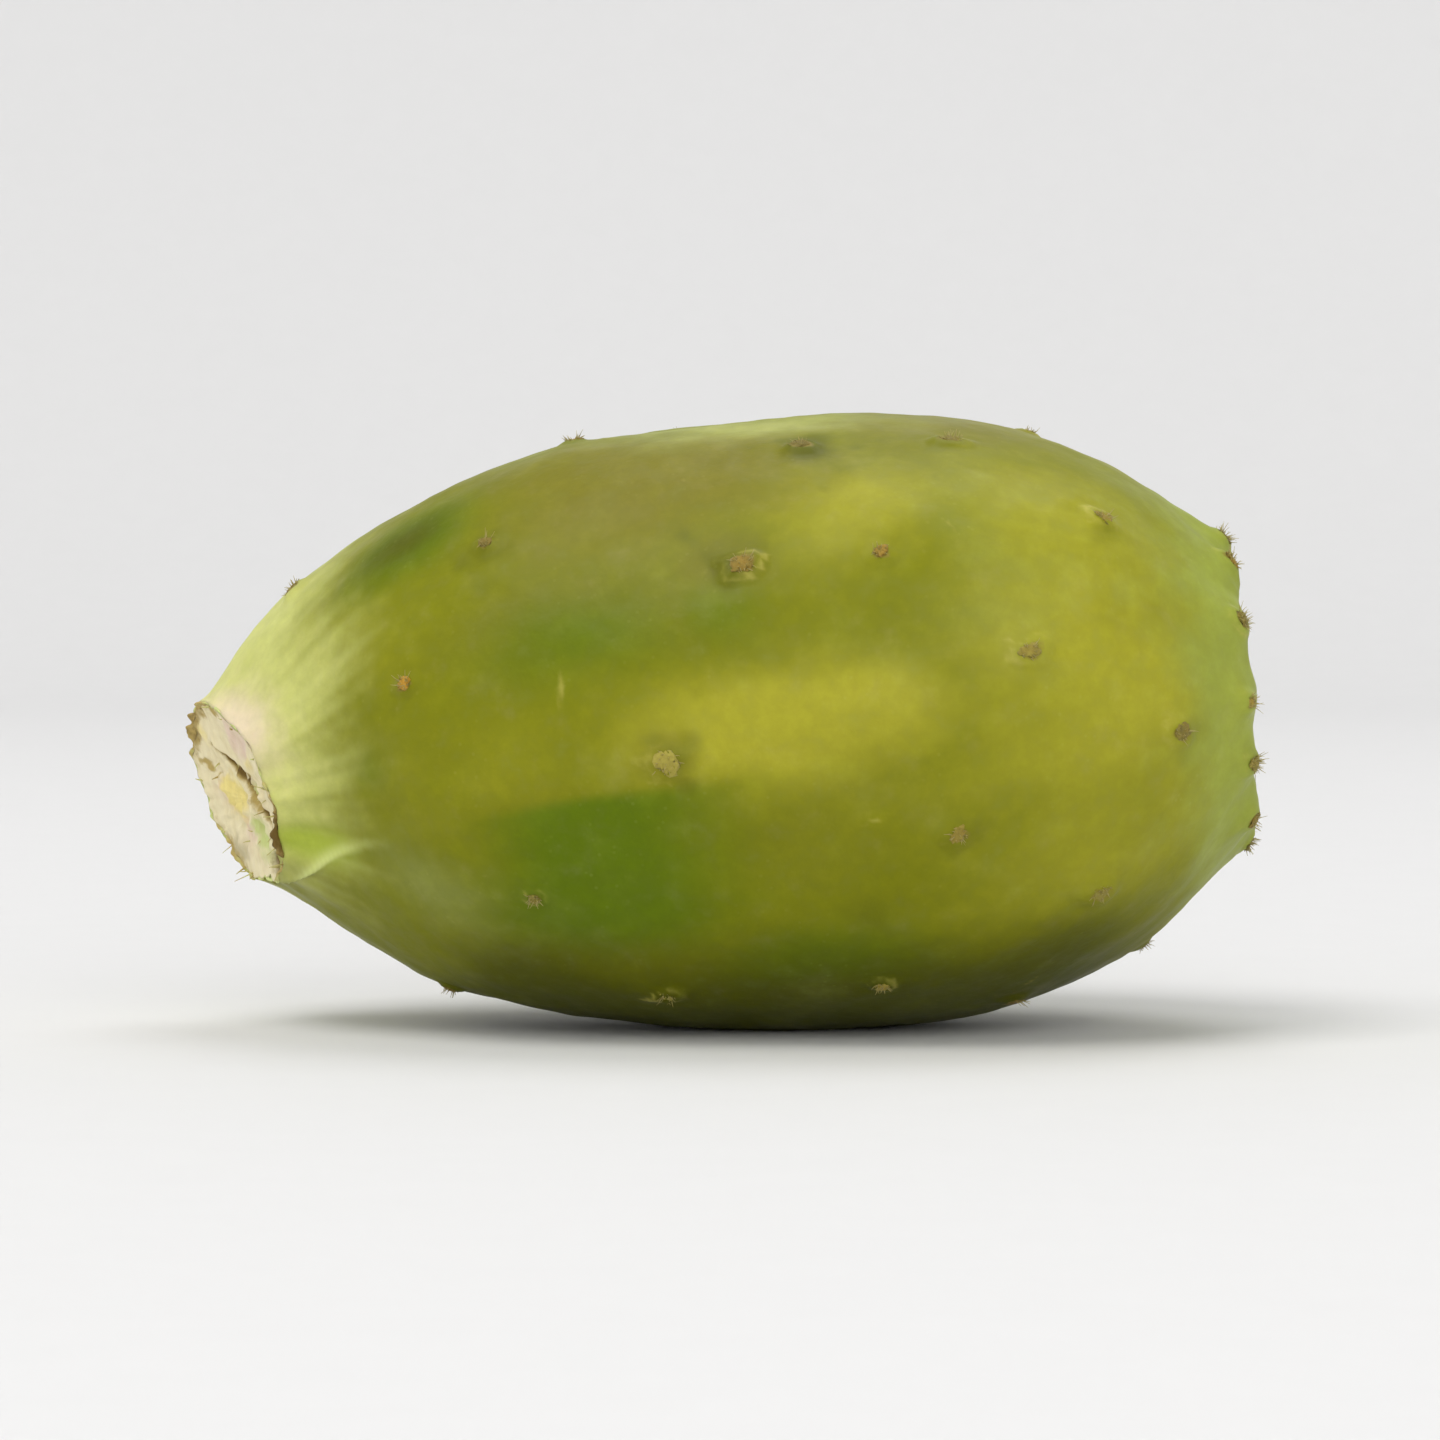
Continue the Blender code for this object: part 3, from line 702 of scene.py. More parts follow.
def layered(tree, where, body, layers):
    """A colour under further ones. Each layer gives what tint() takes from the colour on: the colour, its
    zone, the blotches in mm, how uneven they make it, where it starts and is full, and the most it covers."""
    for layer in layers:
        body = tint(tree, where, body, *layer)
    return body


def grainy(tree, where, millimetres, height, under=None):
    """Bends the light as if noise of this many millimetres stood out by this height, in millimetres."""
    noise = add(tree, "ShaderNodeTexNoise", {"Vector": where, "Scale": 1 / (millimetres * MM), "Detail": 4})
    over = {} if under is None else {"Normal": under}
    return add(tree, "ShaderNodeBump", {"Height": noise, "Distance": height * MM, **over})


def waxy_rind(colours):
    """Cactus rind: a firm skin under a thin cuticle of plant wax, whose soft, broad gloss lies over leaf
    green, ripening yellow and a sun-browned olive, with painted shade, sheen and highlights in its colour."""
    made, tree, shader, where = new_material("waxy_rind")
    drawn_out = add(tree, "ShaderNodeMapping", {"Vector": where, "Scale": (0.6, 1, 1)})
    # These layers also paint shade below the ridge, underneath and beside areoles, and sheen and highlights
    # on top.
    body = layered(tree, drawn_out, colours.green, (
        (colours.yellow, "yellow", 14, 1.1), (colours.olive, "olive", 9, 0.9), (colours.deep, "deep", 9, 0.6),
        (colours.painted_dark_shade, "painted_dark_shade", 9, 0.6), (colours.bloom_and_sheen, "bloom_and_sheen", 5, 0.9, 0, 1, 0.65)))
    body = layered(tree, where, body, (
        (colours.stem_pale, "pale", 6, 0.9, 0, 1, 0.6), (colours.crown_green, "crown", 6, 0.9, 0.1, 1, 0.75),
        (colours.stem_pale, "stem", 3, 0.35, 0, 1, 0.95), (colours.crease_green, "crease", 2, 0.5, 0, 1, 0.9),
        (colours.cut_pink, "blush", 2.5, 0.5, 0, 1, 0.7), (colours.fold_pale, "fold", 2, 0.5, 0, 1, 0.95),
        (colours.shade_halo, "shade_halo", 3, 0.35, 0.1, 1, 0.75), (colours.rim, "rim", 0.8, 0.6, 0.15, 1, 0.75),
        (colours.cork, "dead", 0.6, 0.6, 0.25, 0.75, 0.85)))

    # Tiny pale pores, 0.25 mm across and 1.1 mm apart, that show more in some places than in others, and a
    # mottling of 2 mm under the wax. Real pores are finer, too fine to show.
    cells = add(tree, "ShaderNodeTexVoronoi", {"Vector": where, "Scale": 1 / (1.1 * MM)})
    pores = add(tree, "ShaderNodeMapRange", {"Value": cells, 1: 0.20, 2: 0.08, 4: 1})
    strewn = add(tree, "ShaderNodeTexNoise", {"Vector": where, "Scale": 1 / (7 * MM), "Detail": 3})
    seen = add(tree, "ShaderNodeMapRange", {"Value": strewn, 1: 0.42, 2: 0.68, 4: 0.07})
    pores = add(tree, "ShaderNodeMath", {0: pores, 1: seen}, operation="MULTIPLY")
    body = add(tree, "ShaderNodeMix", {0: pores, 6: body, 7: (*colours.stem_pale, 1)}, data_type="RGBA")
    mottling = add(tree, "ShaderNodeTexNoise", {"Vector": where, "Scale": 1 / (2 * MM), "Detail": 5,
                                                "Roughness": 0.65})
    shading = add(tree, "ShaderNodeMapRange", {"Value": mottling, 1: 0.3, 2: 0.7, 3: 1.09, 4: 0.91})
    body = add(tree, "ShaderNodeVectorMath", {0: body, "Scale": shading}, operation="SCALE")

    # The wax is duller where its bloom was not rubbed off and where sheen is painted, and its gloss varies
    # over 9 mm.
    worn = add(tree, "ShaderNodeTexNoise", {"Vector": where, "Scale": 1 / (9 * MM), "Detail": 4})
    gloss = add(tree, "ShaderNodeMapRange", {"Value": worn, 1: 0.35, 2: 0.65, 3: 0.50, 4: 0.38})
    bloom_and_sheen = add(tree, "ShaderNodeAttribute", attribute_name="bloom_and_sheen").outputs["Fac"]
    gloss = add(tree, "ShaderNodeMath", {0: bloom_and_sheen, 1: 0.15, 2: gloss}, operation="MULTIPLY_ADD")
    fill(tree, shader, {
        "Base Color": body, "Normal": grainy(tree, where, 3.5, 0.12, grainy(tree, where, 0.8, 0.03)),
        "Roughness": gloss, "IOR": 1.44, "Specular IOR Level": 0.13, "Subsurface Weight": 0.15,
        "Subsurface Radius": (0.7, 1.0, 0.15), "Subsurface Scale": 2 * MM, "Coat Weight": 0.04,
        "Coat Roughness": 0.25})
    return made


def dried_flesh(colours):
    """Flesh that was cut and has dried: pale, matt and stringy, with pinker, yellower and browner patches,
    and a grey painted shadow.
    """
    made, tree, shader, where = new_material("dried_flesh")
    strings = add(tree, "ShaderNodeMapping", {"Vector": where, "Scale": (1, 1, 0.25)})
    body = layered(tree, where, colours.cut, (
        (colours.cut_pink, "blush", 2, 0.8), (colours.cut_green, "fresh", 1.2, 0.8),
        (colours.cut_yellow, "yolk", 1, 0.8), (colours.cut_grey, "grey_shadow", 1.2, 0.9, 0, 1, 0.85)))
    body = tint(tree, strings, body, colours.torn_light, 0.30, 0.8, 1.1, most=0.45)
    body = layered(tree, where, body, (
        (colours.torn_light, "brown", 0.8, 0.9, 0.1, 0.7), (colours.torn, "dark", 0.5, 0.6, 0.1, 0.8)))
    fill(tree, shader, {"Base Color": body, "Normal": grainy(tree, strings, 0.6, 0.2), "Roughness": 0.85})
    return made


def dead_skin(colours):
    """Skin that tore and dried to a brittle edge: brown where thick, and straw-coloured where thin."""
    made, tree, shader, where = new_material("dead_skin")
    body = layered(tree, where, colours.cut_green, (
        (colours.torn_light, "thick", 0.9, 0.7, 0.05, 0.45), (colours.torn, "thick", 0.8, 0.9, 0.4, 0.9)))
    fill(tree, shader, {"Base Color": body, "Normal": grainy(tree, where, 0.4, 0.12), "Roughness": 0.75})
    return made


def scar_cork(colours):
    """Cork that grew where the flower fell off: dull, finely cracked, greener towards its dark border."""
    made, tree, shader, where = new_material("scar_cork")
    body = layered(tree, where, colours.flower, (
        (colours.crown_green, "green", 5, 0.8, 0, 0.95), (colours.torn_light, 0.40, 2, 0.9, 0.1, 0.9, 0.5),
        (colours.flower_dark, "border", 1.5, 1.2, 0.3, 1.4, 0.5),
        (colours.flower_dark, "pit", 0.5, 0.3, 0.1, 0.9, 0.7)))

    # Cracks about 0.1 mm wide between cells of 1.3 mm, bent by noise of 1 mm. They show in patches of 3 mm.
    noise = add(tree, "ShaderNodeTexNoise", {"Vector": where, "Scale": 1 / MM})
    bent = add(tree, "ShaderNodeVectorMath", {0: noise.outputs["Color"], 1: (0.7 * MM,) * 3, 2: where},
               operation="MULTIPLY_ADD")
    cells = add(tree, "ShaderNodeTexVoronoi", {"Vector": bent, "Scale": 1 / (1.3 * MM)},
                feature="DISTANCE_TO_EDGE")
    crack = add(tree, "ShaderNodeMapRange", {"Value": cells, 1: 0.07, 2: 0.01, 4: 1})
    body = tint(tree, where, body, colours.flower_dark, crack, 3, 1.6, 0.9, 1.6, 0.45)
    fill(tree, shader, {"Base Color": body, "Normal": grainy(tree, where, 0.5, 0.15), "Roughness": 0.8})
    return made


def matted_felt(colours):
    """Felt of short plant hairs, matted by washing: brown, warmer where it was rubbed, or bleached pale."""
    made, tree, shader, where = new_material("matted_felt")
    body = layered(tree, where, colours.felt, (
        (colours.felt_warm, "warm", 0.8, 0.6), (colours.felt_pale, "pale", 0.5, 0.8, 0.05, 0.95, 0.9),
        (colours.torn, 0.30, 0.4, 1.1, 0, 1, 0.4)))
    fill(tree, shader, {"Base Color": body, "Normal": grainy(tree, where, 0.22, 0.07), "Roughness": 0.95,
                        "Sheen Weight": 0.1})
    return made


def woody_bristle(colours):
    """Woody bristles, broken short: straw-coloured and slightly glossy."""
    made, tree, shader, where = new_material("woody_bristle")
    body = tint(tree, where, colours.stub, colours.felt, 0.42, 0.7, 1.0)
    fill(tree, shader, {"Base Color": body, "Roughness": 0.5})
    return made


def matt_floor_paint(stage):
    """Matt emulsion on a smooth studio sweep, very faintly uneven."""
    made, tree, shader, where = new_material("matt_floor_paint")
    darker = tuple(0.985 * value for value in stage.floor)
    body = tint(tree, where, stage.floor, darker, 0.5, 8, 1.0)
    fill(tree, shader, {"Base Color": body, "Roughness": 0.9, "Specular IOR Level": 0.2})
    return made


class PEAR_OT_rind(Operator):
    """Builds the rind, with its neck, puckers, lumps, areole cushions, crown and flat"""

    bl_idname = "pear.rind"
    bl_label = "Rind"

    def execute(self, context):
        shape, spots = context.scene.pear_shape, context.scene.pear_areoles
        rings, sides = 244, 384
        along, radius = outline(shape, rings)
        bottom = along[-1]

        # The first four rings line a shallow cup that lies under the cut face.
        cup_depth = 1.2 * MM
        cup_along = cup_depth * np.array([1, 0.95, 0.7, 0.25])
        cup_radius = shape.scar_radius * np.array([0.35, 0.7, 0.9, 0.97])
        along = np.concatenate([cup_along, along[:-1]])[:, None]
        radius = np.concatenate([cup_radius, radius[:-1]])[:, None]
        angle = sides_round(sides)[None]
        points = place(shape, along, radius, angle)
        across = np.roll(points, -1, 1) - np.roll(points, 1, 1)
        out = unit(np.cross(across, np.gradient(points, axis=0)))

        relief, masks = areole_relief(points, areoles(shape, spots), spots)
        scuffed = scuffs(shape, along, angle)
        masks["rim"] = np.maximum(masks["rim"], scuffed)

        # In the crown, the brim is uneven, and a broken ring of cork lies round the flower scar.
        brim_radius, brim_width, cork_radius, cork_width = 10.8 * MM, 1.5 * MM, 8.7 * MM, 0.4 * MM
        in_crown = smooth(along - lip_along(shape), -4 * MM, 3 * MM)
        brim = in_crown * bell(radius - brim_radius, brim_width)
        broken = smooth(0.5 + 0.6 * ripple(points, 5 * MM, seed=12))
        cork = 0.8 * broken * in_crown * bell(radius - cork_radius, cork_width)
        masks["dead"] = np.maximum(masks["dead"], cork)

        # Finer unevenness: heights in mm.
        uneven = (0.06 * ripple(points, 7 * MM, seed=3) + 0.02 * ripple(points, 2.6 * MM, seed=4)
                  + 0.05 * scuffed + 0.3 * brim * ripple(points, 6 * MM, seed=10))
        wrinkle = 0.07 * np.cos(23 * angle + 2 * np.sin(3 * angle)) * np.exp(-along / (5 * MM))
        raised = smooth(along, 0, 2 * MM) * (relief + front_ridge(along, angle) + uneven * MM) + wrinkle * MM
        skin = points + raised[..., None] * out
        skin[..., 2] = np.maximum(skin[..., 2], 0)

        closed_piece("rind", place(shape, cup_depth, 0.0, 0.0), skin, place(shape, bottom, 0.0, 0.0),
                     waxy_rind(context.scene.pear_colours),
                     {**masks, **rind_zones(shape, points, along, angle)})
        return {"FINISHED"}


class PEAR_OT_cut_face(Operator):
    """Builds the dried face of the cut, with its ring of strands, its fissure and its radial shrinkage"""

    bl_idname = "pear.cut_face"
    bl_label = "Cut face"

    def execute(self, context):
        shape = context.scene.pear_shape
        rings, under_rings, sides = 60, 6, 260
        angle = sides_round(sides)[None]
        share_out = np.linspace(0.02, 1, rings)[:, None]
        radius = 0.975 * shape.scar_radius * share_out * np.ones_like(angle)
        flat = polar(radius, angle)
        wander = 0.3 * ripple(flat, 2.4 * MM, seed=24) + 0.1 * ripple(flat, 0.8 * MM, seed=25)
        front, up = flat[..., 0] / MM + wander, flat[..., 1] / MM - wander
        split = near_chain(front, up, FISSURE)
        dark_rim = rim_darkness(angle) * smooth(share_out, 0.86, 0.12)
        # The gap low at the front is sunk, and the dark over it is painted shade.
        gap = bell_round(angle, -58, 15) * smooth(share_out, 0.68, 0.2)

        # Depths in mm: a dish, a ring of 13 strands, radial shrinkage, and roughness that fades to the rim.
        dish = 0.7 * (1 - share_out ** 3)
        between = np.cos(13 * angle + ripple(flat, 5 * MM, seed=21))
        strands = 0.2 * bell(share_out - 0.62, 0.1) * np.maximum(between, 0) ** 2
        shrink = 0.08 * share_out * np.cos(29 * angle + 3 * share_out + 2 * np.sin(4 * angle))
        rough = 0.2 * ripple(flat, 2.6 * MM, seed=22) + 0.09 * ripple(flat, 0.9 * MM, seed=23)
        rough = rough * np.clip(1.25 - share_out, 0, 1)
        outer = MM * (dish - strands + shrink - rough + 0.9 * gap + 0.6 * split)
        deep = 2.4 * MM
        under = np.full((under_rings, sides), deep)
        inward = np.linspace(0.9, 0.1, under_rings)[:, None] * shape.scar_radius * np.ones_like(angle)
        points = place(shape, np.concatenate([outer, under]), np.concatenate([radius, inward]), angle)

        masks = {name: np.max([strength * bell(np.hypot((front - x) / half_wide, (up - y) / half_high), 1)
                               for x, y, half_wide, half_high, strength in rows], axis=0)
                 for name, rows in CUT_BITS.items()}
        masks["brown"] = np.maximum(masks["brown"], np.maximum(split, dark_rim))
        # The dark mask: dried brown in the fissure and round the rim, painted shade in the gap.
        masks["dark"] = np.maximum(0.9 * split ** 2, np.maximum(0.55 * dark_rim, 0.9 * gap))
        masks = {name: np.concatenate([values, np.zeros_like(under)]) for name, values in masks.items()}
        middle = place(shape, float(outer[0].mean()), 0.0, 0.0)
        closed_piece("cut_face", middle, points, place(shape, deep, 0.0, 0.0),
                     dried_flesh(context.scene.pear_colours), masks)
        return {"FINISHED"}


class PEAR_OT_torn_edge(Operator):
    """Builds the ragged lip of dead skin round the cut, a flat oval in section, tallest where darkest"""

    bl_idname = "pear.torn_edge"
    bl_label = "Torn edge"

    def execute(self, context):
        shape = context.scene.pear_shape
        around, section = 480, 12
        angle = sides_round(around)[:, None]
        ring = polar(1, angle)
        ragged, notch = ripple(ring, 0.5, seed=31), ripple(ring, 0.16, seed=32)
        frayed = ripple(ring, 0.07, seed=33)
        dark = rim_darkness(angle)
        thin = MM * np.clip(0.09 + 0.06 * dark + 0.03 * notch, 0.05, 0.25)
        tall = 0.2 + 0.5 * dark + (0.06 + 0.3 * dark) * (0.6 * ragged + 0.6 * notch + 0.3 * frayed)
        turn = np.linspace(0, TURN, section, endpoint=False)[None]
        stands = MM * np.clip(tall, 0.08, 1.4) / 2 * (1 + np.sin(turn))
        radius = 0.985 * shape.scar_radius + 0.08 * MM * notch + (0.4 * dark - 0.1) * stands
        points = place(shape, 0.2 * MM - stands, radius + thin * np.cos(turn), angle)
        thickness = {"thick": ((0.1 + 0.8 * dark) * np.ones_like(turn)).ravel()}
        piece("torn_edge", points.reshape(-1, 3), [ring_faces(around, section)],
              dead_skin(context.scene.pear_colours), thickness)
        return {"FINISHED"}


class PEAR_OT_flower_scar(Operator):
    """Builds the cork disc in the crown's hollow, with its wrinkles, cracks and style scar"""

    bl_idname = "pear.flower_scar"
    bl_label = "Flower scar"

    def execute(self, context):
        shape = context.scene.pear_shape
        rings, under_rings, sides = 60, 6, 320
        angle = sides_round(sides)[None]
        share_out = np.linspace(0.015, 1, rings)[:, None]
        ring = polar(1, angle)
        disc_radius = 8.9 * MM
        reach = disc_radius * (1 + 0.022 * ripple(ring, 0.9, seed=41) + 0.01 * ripple(ring, 0.25, seed=42))
        radius = reach * share_out

        # The last fifth of the outline lies in the hollow. It is read from the middle out.
        samples = 2000
        in_hollow = slice(-1, -samples // 5, -1)
        line_along, line_radius = outline(shape, samples)

        def hollow(at_radius):
            return np.interp(at_radius, line_radius[in_hollow], line_along[in_hollow])

        # Heights in mm: a rounded edge, 37 wandering rays, 4 growth rings, grain, the style's scar, a brim.
        flat, spread = polar(radius, angle), polar(share_out, angle)
        thick = 0.55 * smooth(1 - share_out, 0, 0.13) - 0.17
        rays = 0.04 * np.cos(37 * angle + 2.5 * ripple(spread, 0.9, seed=43)) * smooth(share_out, 0.3, 0.4)
        growth = 0.07 * np.cos(TURN * 4 * share_out ** 0.8 + 1.2 * ripple(flat, 4 * MM, seed=46))
        grain = 0.07 * ripple(flat, 1.4 * MM, seed=47)
        style = 0.2 * bell(share_out - 0.13, 0.05) - 0.3 * bell(share_out, 0.07)
        brim = 0.1 * bell(share_out - 0.87, 0.05)
        # Along is towards the crown, so what stands out of the hollow has more of it.
        outer = hollow(radius) + MM * (thick + rays + growth + grain + style + brim)
        inward = np.linspace(0.94, 0.1, under_rings)[:, None] * reach
        under = hollow(inward) - 0.5 * MM
        along, radius = np.concatenate([outer, under])[::-1], np.concatenate([radius, inward])[::-1]
        points = place(shape, along, radius, angle)

        masks = {"pit": 0.8 * bell(share_out, 0.08) + 0.3 * bell(share_out - 0.2, 0.04),
                 "border": smooth(share_out, 0.8, 0.16), "green": smooth(share_out, 0.3, 0.5)}
        masks = {name: np.concatenate([values * np.ones_like(outer), np.zeros_like(under)])[::-1]
                 for name, values in masks.items()}
        behind = place(shape, float(under[-1].mean()), 0.0, 0.0)
        middle = place(shape, float(outer[0].mean()), 0.0, 0.0)
        closed_piece("flower_scar", behind, points, middle, scar_cork(context.scene.pear_colours),
                     masks)
        return {"FINISHED"}


class PEAR_OT_areole_felt(Operator):
    """Builds the felt pad in the pit of each areole"""

    bl_idname = "pear.areole_felt"
    bl_label = "Areole felt"

    def execute(self, context):
        shape, spots = context.scene.pear_shape, context.scene.pear_areoles
        marks = areoles(shape, spots)
        count = len(marks["at"])
        rings, sides = 13, 32
        dip = np.linspace(0, math.pi, rings + 2)[1:-1, None]
        ball = closed_points((0, 0, 1), polar(np.sin(dip), sides_round(sides)[None], np.cos(dip)), (0, 0, -1))
        # Each pad takes its unevenness from a place of its own.
        spread = ball[None] + 3 * np.arange(count)[:, None, None]
        wide = 0.5 * marks["size"][:, None] * (1 + 0.16 * ripple(spread * [1, 1, 0], 1.6, seed=51)
                                               + 0.09 * ripple(spread, 0.4, seed=53))
        lift = (marks["raised"] + 0.60 * spots.height * marks["size"])[:, None]
        tall = 0.17 * marks["size"][:, None] * ball[None, :, 2]
        tall = MM * (tall + 0.03 * ripple(spread, 0.7, seed=52) + 0.03 * ripple(spread, 0.28, seed=54))
        points = (marks["at"][:, None]
                  + (spots.long_half * wide * ball[None, :, 0])[..., None] * marks["ahead"][:, None]
                  + (spots.wide_half * wide * ball[None, :, 1])[..., None] * marks["round"][:, None]
                  + (lift + tall)[..., None] * marks["out"][:, None])
        points[..., 2] = np.maximum(points[..., 2], 0)
        faces = copied(closed_faces(rings, sides), count, len(ball))
        masks = {"warm": np.repeat(marks["warmth"], len(ball)), "pale": np.repeat(marks["pale"], len(ball))}
        piece("areole_felt", points.reshape(-1, 3), faces,
              matted_felt(context.scene.pear_colours), masks)
        return {"FINISHED"}


def hairs(roots, ways, bends, lengths, radii, rings=4, sides=5):
    """Points and faces of curved, tapered hairs. A point at share t of a hair lies at its root plus t times
    its length along its way, plus t squared times its length along its bend. The width goes as 1 - 0.7 t."""
    t = np.linspace(0, 1, rings)[:, None]
    spine = roots[:, None] + (t * ways[:, None] + t ** 2 * bends[:, None]) * lengths[:, None, None]
    side = unit(np.cross(ways, [0.31, 0.52, 0.80]))
    other = np.cross(ways, side)
    turn = np.linspace(0, TURN, sides, endpoint=False)[:, None]
    ring = np.cos(turn) * side[:, None] + np.sin(turn) * other[:, None]
    width = radii[:, None, None, None] * (1 - 0.7 * t[..., None])
    points = (spine[:, :, None] + width * ring[:, None]).reshape(len(roots), -1, 3)
    points = np.concatenate([spine[:, :1], points, spine[:, -1:]], 1)
    return points.reshape(-1, 3), copied(closed_faces(rings, sides), len(roots), points.shape[1])


class PEAR_OT_bristle_stubs(Operator):
    """Builds the broken bristles left on the areoles"""

    bl_idname = "pear.bristle_stubs"
    bl_label = "Bristle stubs"

    def execute(self, context):
        shape, spots = context.scene.pear_shape, context.scene.pear_areoles
        marks = areoles(shape, spots)
        draw = np.random.default_rng(spots.seed + 2)
        most = np.where(marks["lip"], spots.lip_stubs, spots.stubs)
        which = np.repeat(np.arange(len(most)), draw.integers(most // 3, most + 1))
        count = len(which)
        spread = np.sqrt(draw.uniform(0.02, 1, count))
        turn = draw.uniform(0, TURN, count)
        at, out, ahead, round_by, size, raised, on_lip = (
            marks[look][which] for look in ("at", "out", "ahead", "round", "size", "raised", "lip"))
        east = (spread * np.cos(turn))[:, None] * ahead
        north = (spread * np.sin(turn))[:, None] * round_by
        aside = 0.45 * size[:, None] * (spots.long_half * east + spots.wide_half * north)
        roots = at + aside + (raised + 0.62 * spots.height * size)[:, None] * out
        ways = unit(out + 1.1 * (east + north) + draw.normal(0, 0.3, (count, 3)))
        bends = draw.normal(0, 0.18, (count, 3))
        lengths = spots.stub_length * draw.uniform(0.5, 1.5, count) * np.where(on_lip, 1.25, 1)
        radii = spots.stub_radius * draw.uniform(0.8, 1.2, count)
        # None grow where the fruit meets the ground.
        clear = roots[:, 2] > 3 * MM
        points, faces = hairs(*(values[clear] for values in (roots, ways, bends, lengths, radii)))
        piece("bristle_stubs", points, faces, woody_bristle(context.scene.pear_colours))
        return {"FINISHED"}


class PEAR_OT_cut_strands(Operator):
    """Builds the short strands that stick out of the cut"""

    bl_idname = "pear.cut_strands"
    bl_label = "Cut strands"

    def execute(self, context):
        shape = context.scene.pear_shape
        count, inner_count = 26, 8
        draw = np.random.default_rng(61)
        angle = draw.uniform(0, TURN, count)
        inner = np.arange(count) < inner_count
        share_out = np.where(inner, draw.normal(0.6, 0.06, count), draw.uniform(0.93, 0.99, count))
        roots = place(shape, MM * np.where(inner, 0.7, 0.1), share_out * shape.scar_radius, angle)
        middle = place(shape, 0.0, 0.0, 0.0)
        away = unit(middle - place(shape, 6 * MM, 0.0, 0.0))
        leaning = np.where(inner, -0.1, 0.25)[:, None] * unit(roots - middle)
        ways = unit(away + leaning + draw.normal(0, 0.3, (count, 3)))
        bends = draw.normal(0, 0.3, (count, 3))
        lengths = MM * np.where(inner, draw.uniform(0.5, 1.2, count), draw.uniform(0.4, 1.1, count))
        points, faces = hairs(roots, ways, bends, lengths, MM * draw.uniform(0.06, 0.13, count))
        piece("cut_strands", points, faces, dead_skin(context.scene.pear_colours),
              {"thick": np.full(len(points), 0.3)})
        return {"FINISHED"}


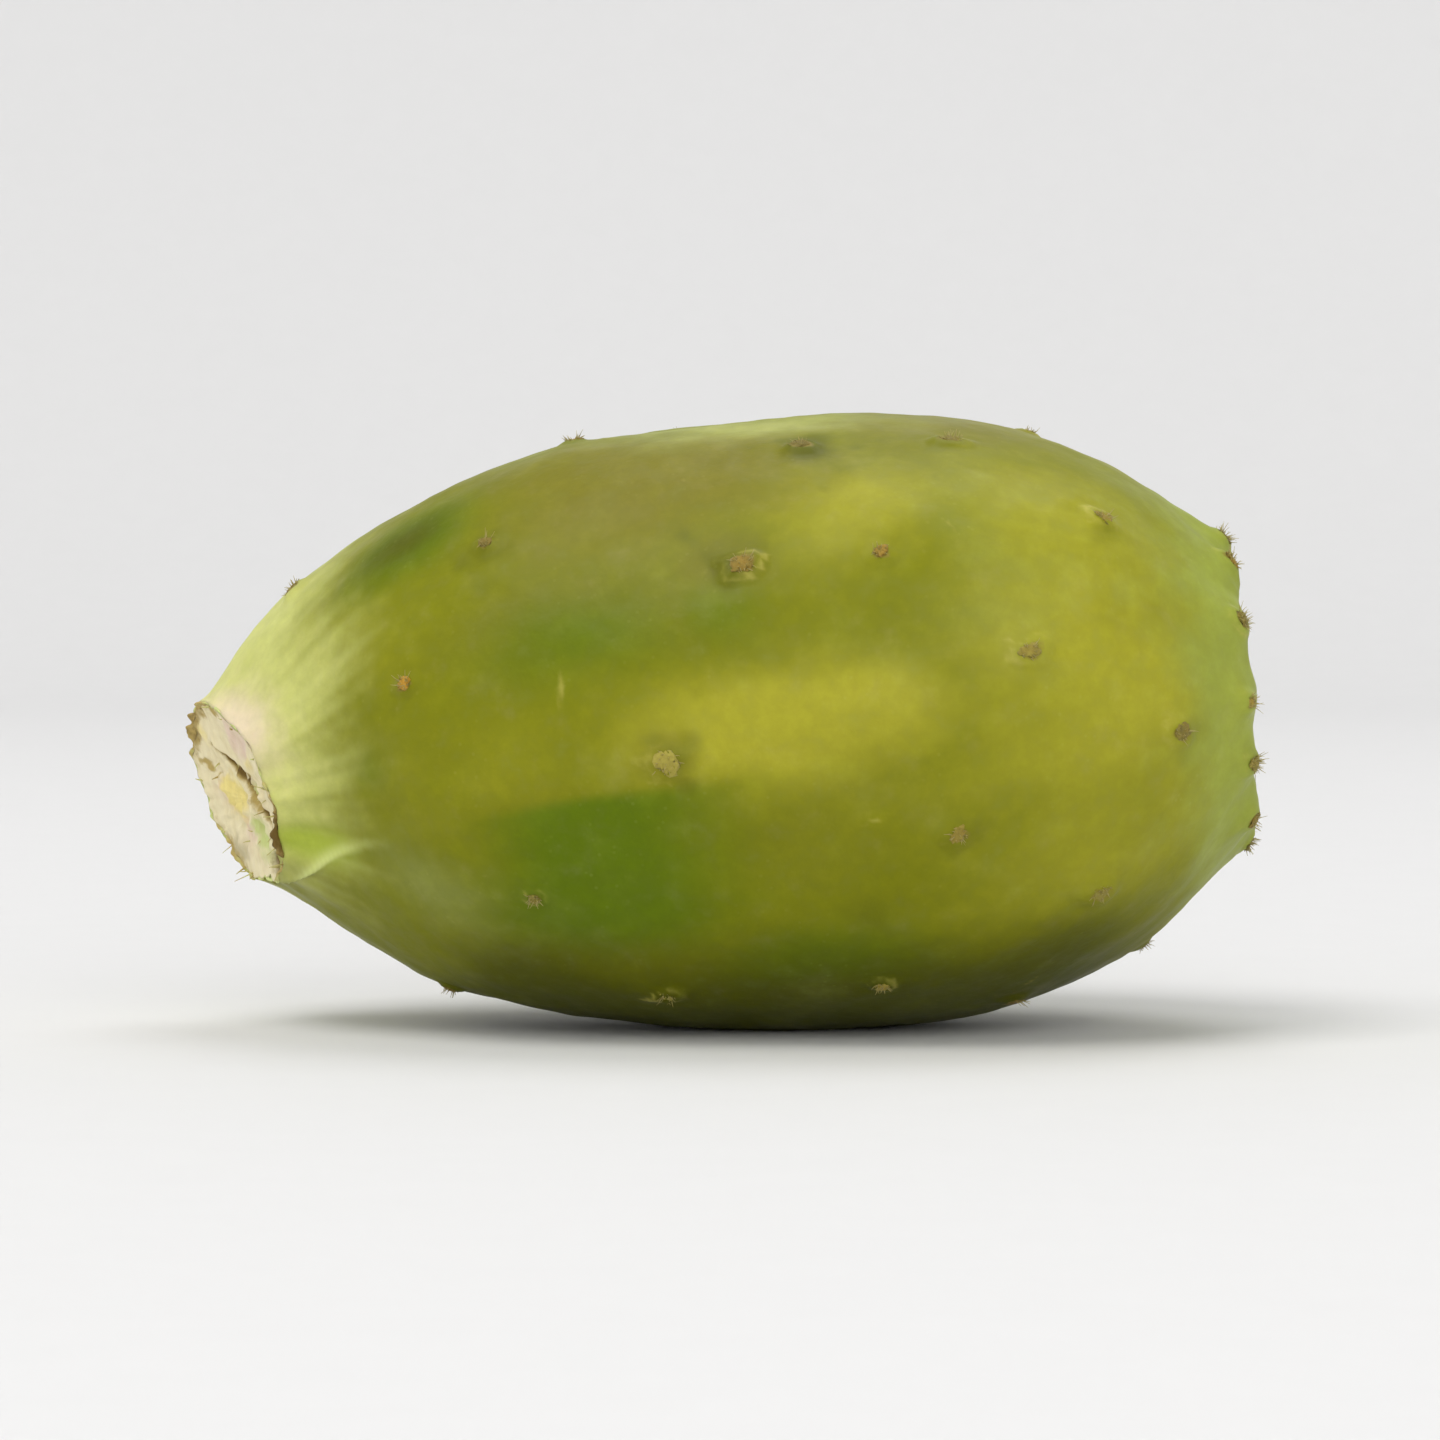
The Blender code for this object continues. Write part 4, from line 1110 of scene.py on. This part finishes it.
class PEAR_OT_stage(Operator):
    """Builds the floor sweep, the lights and the camera"""

    bl_idname = "pear.stage"
    bl_label = "Floor, lights and camera"

    def execute(self, context):
        scene, stage = context.scene, context.scene.pear_stage

        # The floor, in metres: level out to a circle, then a quarter round up to a wall.
        sides, flat, bend, wall, bend_rings = 96, 0.9, 0.45, 1.3, 24
        turn = np.linspace(0, math.pi / 2, bend_rings)
        radius = np.concatenate([[0.3 * flat], flat + bend * np.sin(turn), [flat + bend]])[:, None]
        up = np.concatenate([[0], bend * (1 - np.cos(turn)), [wall]])[:, None]
        rings = polar(radius, sides_round(sides)[None], up)
        quads, fans = closed_faces(len(rings), sides)
        points = closed_points((0, 0, 0), rings, (0, 0, wall))[:-1]
        mesh = bpy.data.meshes.new("floor")
        mesh.from_pydata(points.tolist(), [], quads.tolist() + fans[:sides].tolist())
        mesh.shade_smooth()
        mesh.materials.append(matt_floor_paint(stage))
        floor = bpy.data.objects.new("floor", mesh)
        scene.collection.objects.link(floor)

        middle = (CAD_LOW + CAD_HIGH) / 2
        for name, location, width, watts, hue in LIGHTS:
            lamp = bpy.data.lights.new(name, "AREA")
            lamp.size, lamp.energy, lamp.color = width, watts * stage.light, linear(hue)
            made = bpy.data.objects.new(name, lamp)
            made.location = location
            made.rotation_euler = (middle - Vector(location)).to_track_quat("-Z", "Y").to_euler()
            scene.collection.objects.link(made)
        world = bpy.data.worlds.new("studio")
        world.use_nodes = True
        background = {"Color": (*linear("#FBFCFF"), 1), "Strength": 0.34 * stage.light}
        fill(world.node_tree, world.node_tree.nodes["Background"], background)
        scene.world = world
        scene.view_settings.view_transform = "Standard"

        camera = bpy.data.cameras.new("camera")
        camera.lens = stage.lens
        distance = (CAD_HIGH.x - CAD_LOW.x) / stage.filled * stage.lens / camera.sensor_width
        made = bpy.data.objects.new("camera", camera)
        way = Vector((0, -math.cos(stage.elevation), math.sin(stage.elevation)))
        made.location = middle + way * distance
        made.rotation_euler = (-way).to_track_quat("-Z", "Y").to_euler()
        scene.collection.objects.link(made)
        scene.camera = made
        return {"FINISHED"}


GROUPS = {"pear_shape": PearShape, "pear_areoles": PearAreoles, "pear_colours": PearColours,
          "pear_stage": PearStage}
BUILDERS = (PEAR_OT_rind, PEAR_OT_cut_face, PEAR_OT_torn_edge, PEAR_OT_flower_scar, PEAR_OT_areole_felt,
            PEAR_OT_bristle_stubs, PEAR_OT_cut_strands, PEAR_OT_stage)


class PEAR_PT_sidebar(Panel):
    """Lists the sizes and colours, and the steps that build the fruit"""

    bl_label = "Prickly pear"
    bl_idname = "PEAR_PT_sidebar"
    bl_space_type = "VIEW_3D"
    bl_region_type = "UI"
    bl_category = "Prickly pear"

    def draw(self, context):
        for builder in BUILDERS:
            self.layout.operator(builder.bl_idname)
        for name, group in GROUPS.items():
            box = self.layout.box()
            for setting in group.__annotations__:
                box.prop(getattr(context.scene, name), setting)


CLASSES = (*GROUPS.values(), *BUILDERS, PEAR_PT_sidebar)


def register():
    """Registers the classes, and hangs the settings on the scene."""
    for one in CLASSES:
        bpy.utils.register_class(one)
    for name, group in GROUPS.items():
        setattr(bpy.types.Scene, name, PointerProperty(type=group))


def unregister():
    """Undoes what register() did."""
    for name in GROUPS:
        delattr(bpy.types.Scene, name)
    for one in reversed(CLASSES):
        bpy.utils.unregister_class(one)


def main():
    """Builds everything in order."""
    register()
    bpy.ops.pear.rind()
    bpy.ops.pear.cut_face()
    bpy.ops.pear.torn_edge()
    bpy.ops.pear.flower_scar()
    bpy.ops.pear.areole_felt()
    bpy.ops.pear.bristle_stubs()
    bpy.ops.pear.cut_strands()
    bpy.ops.pear.stage()


if __name__ == "__main__":
    main()
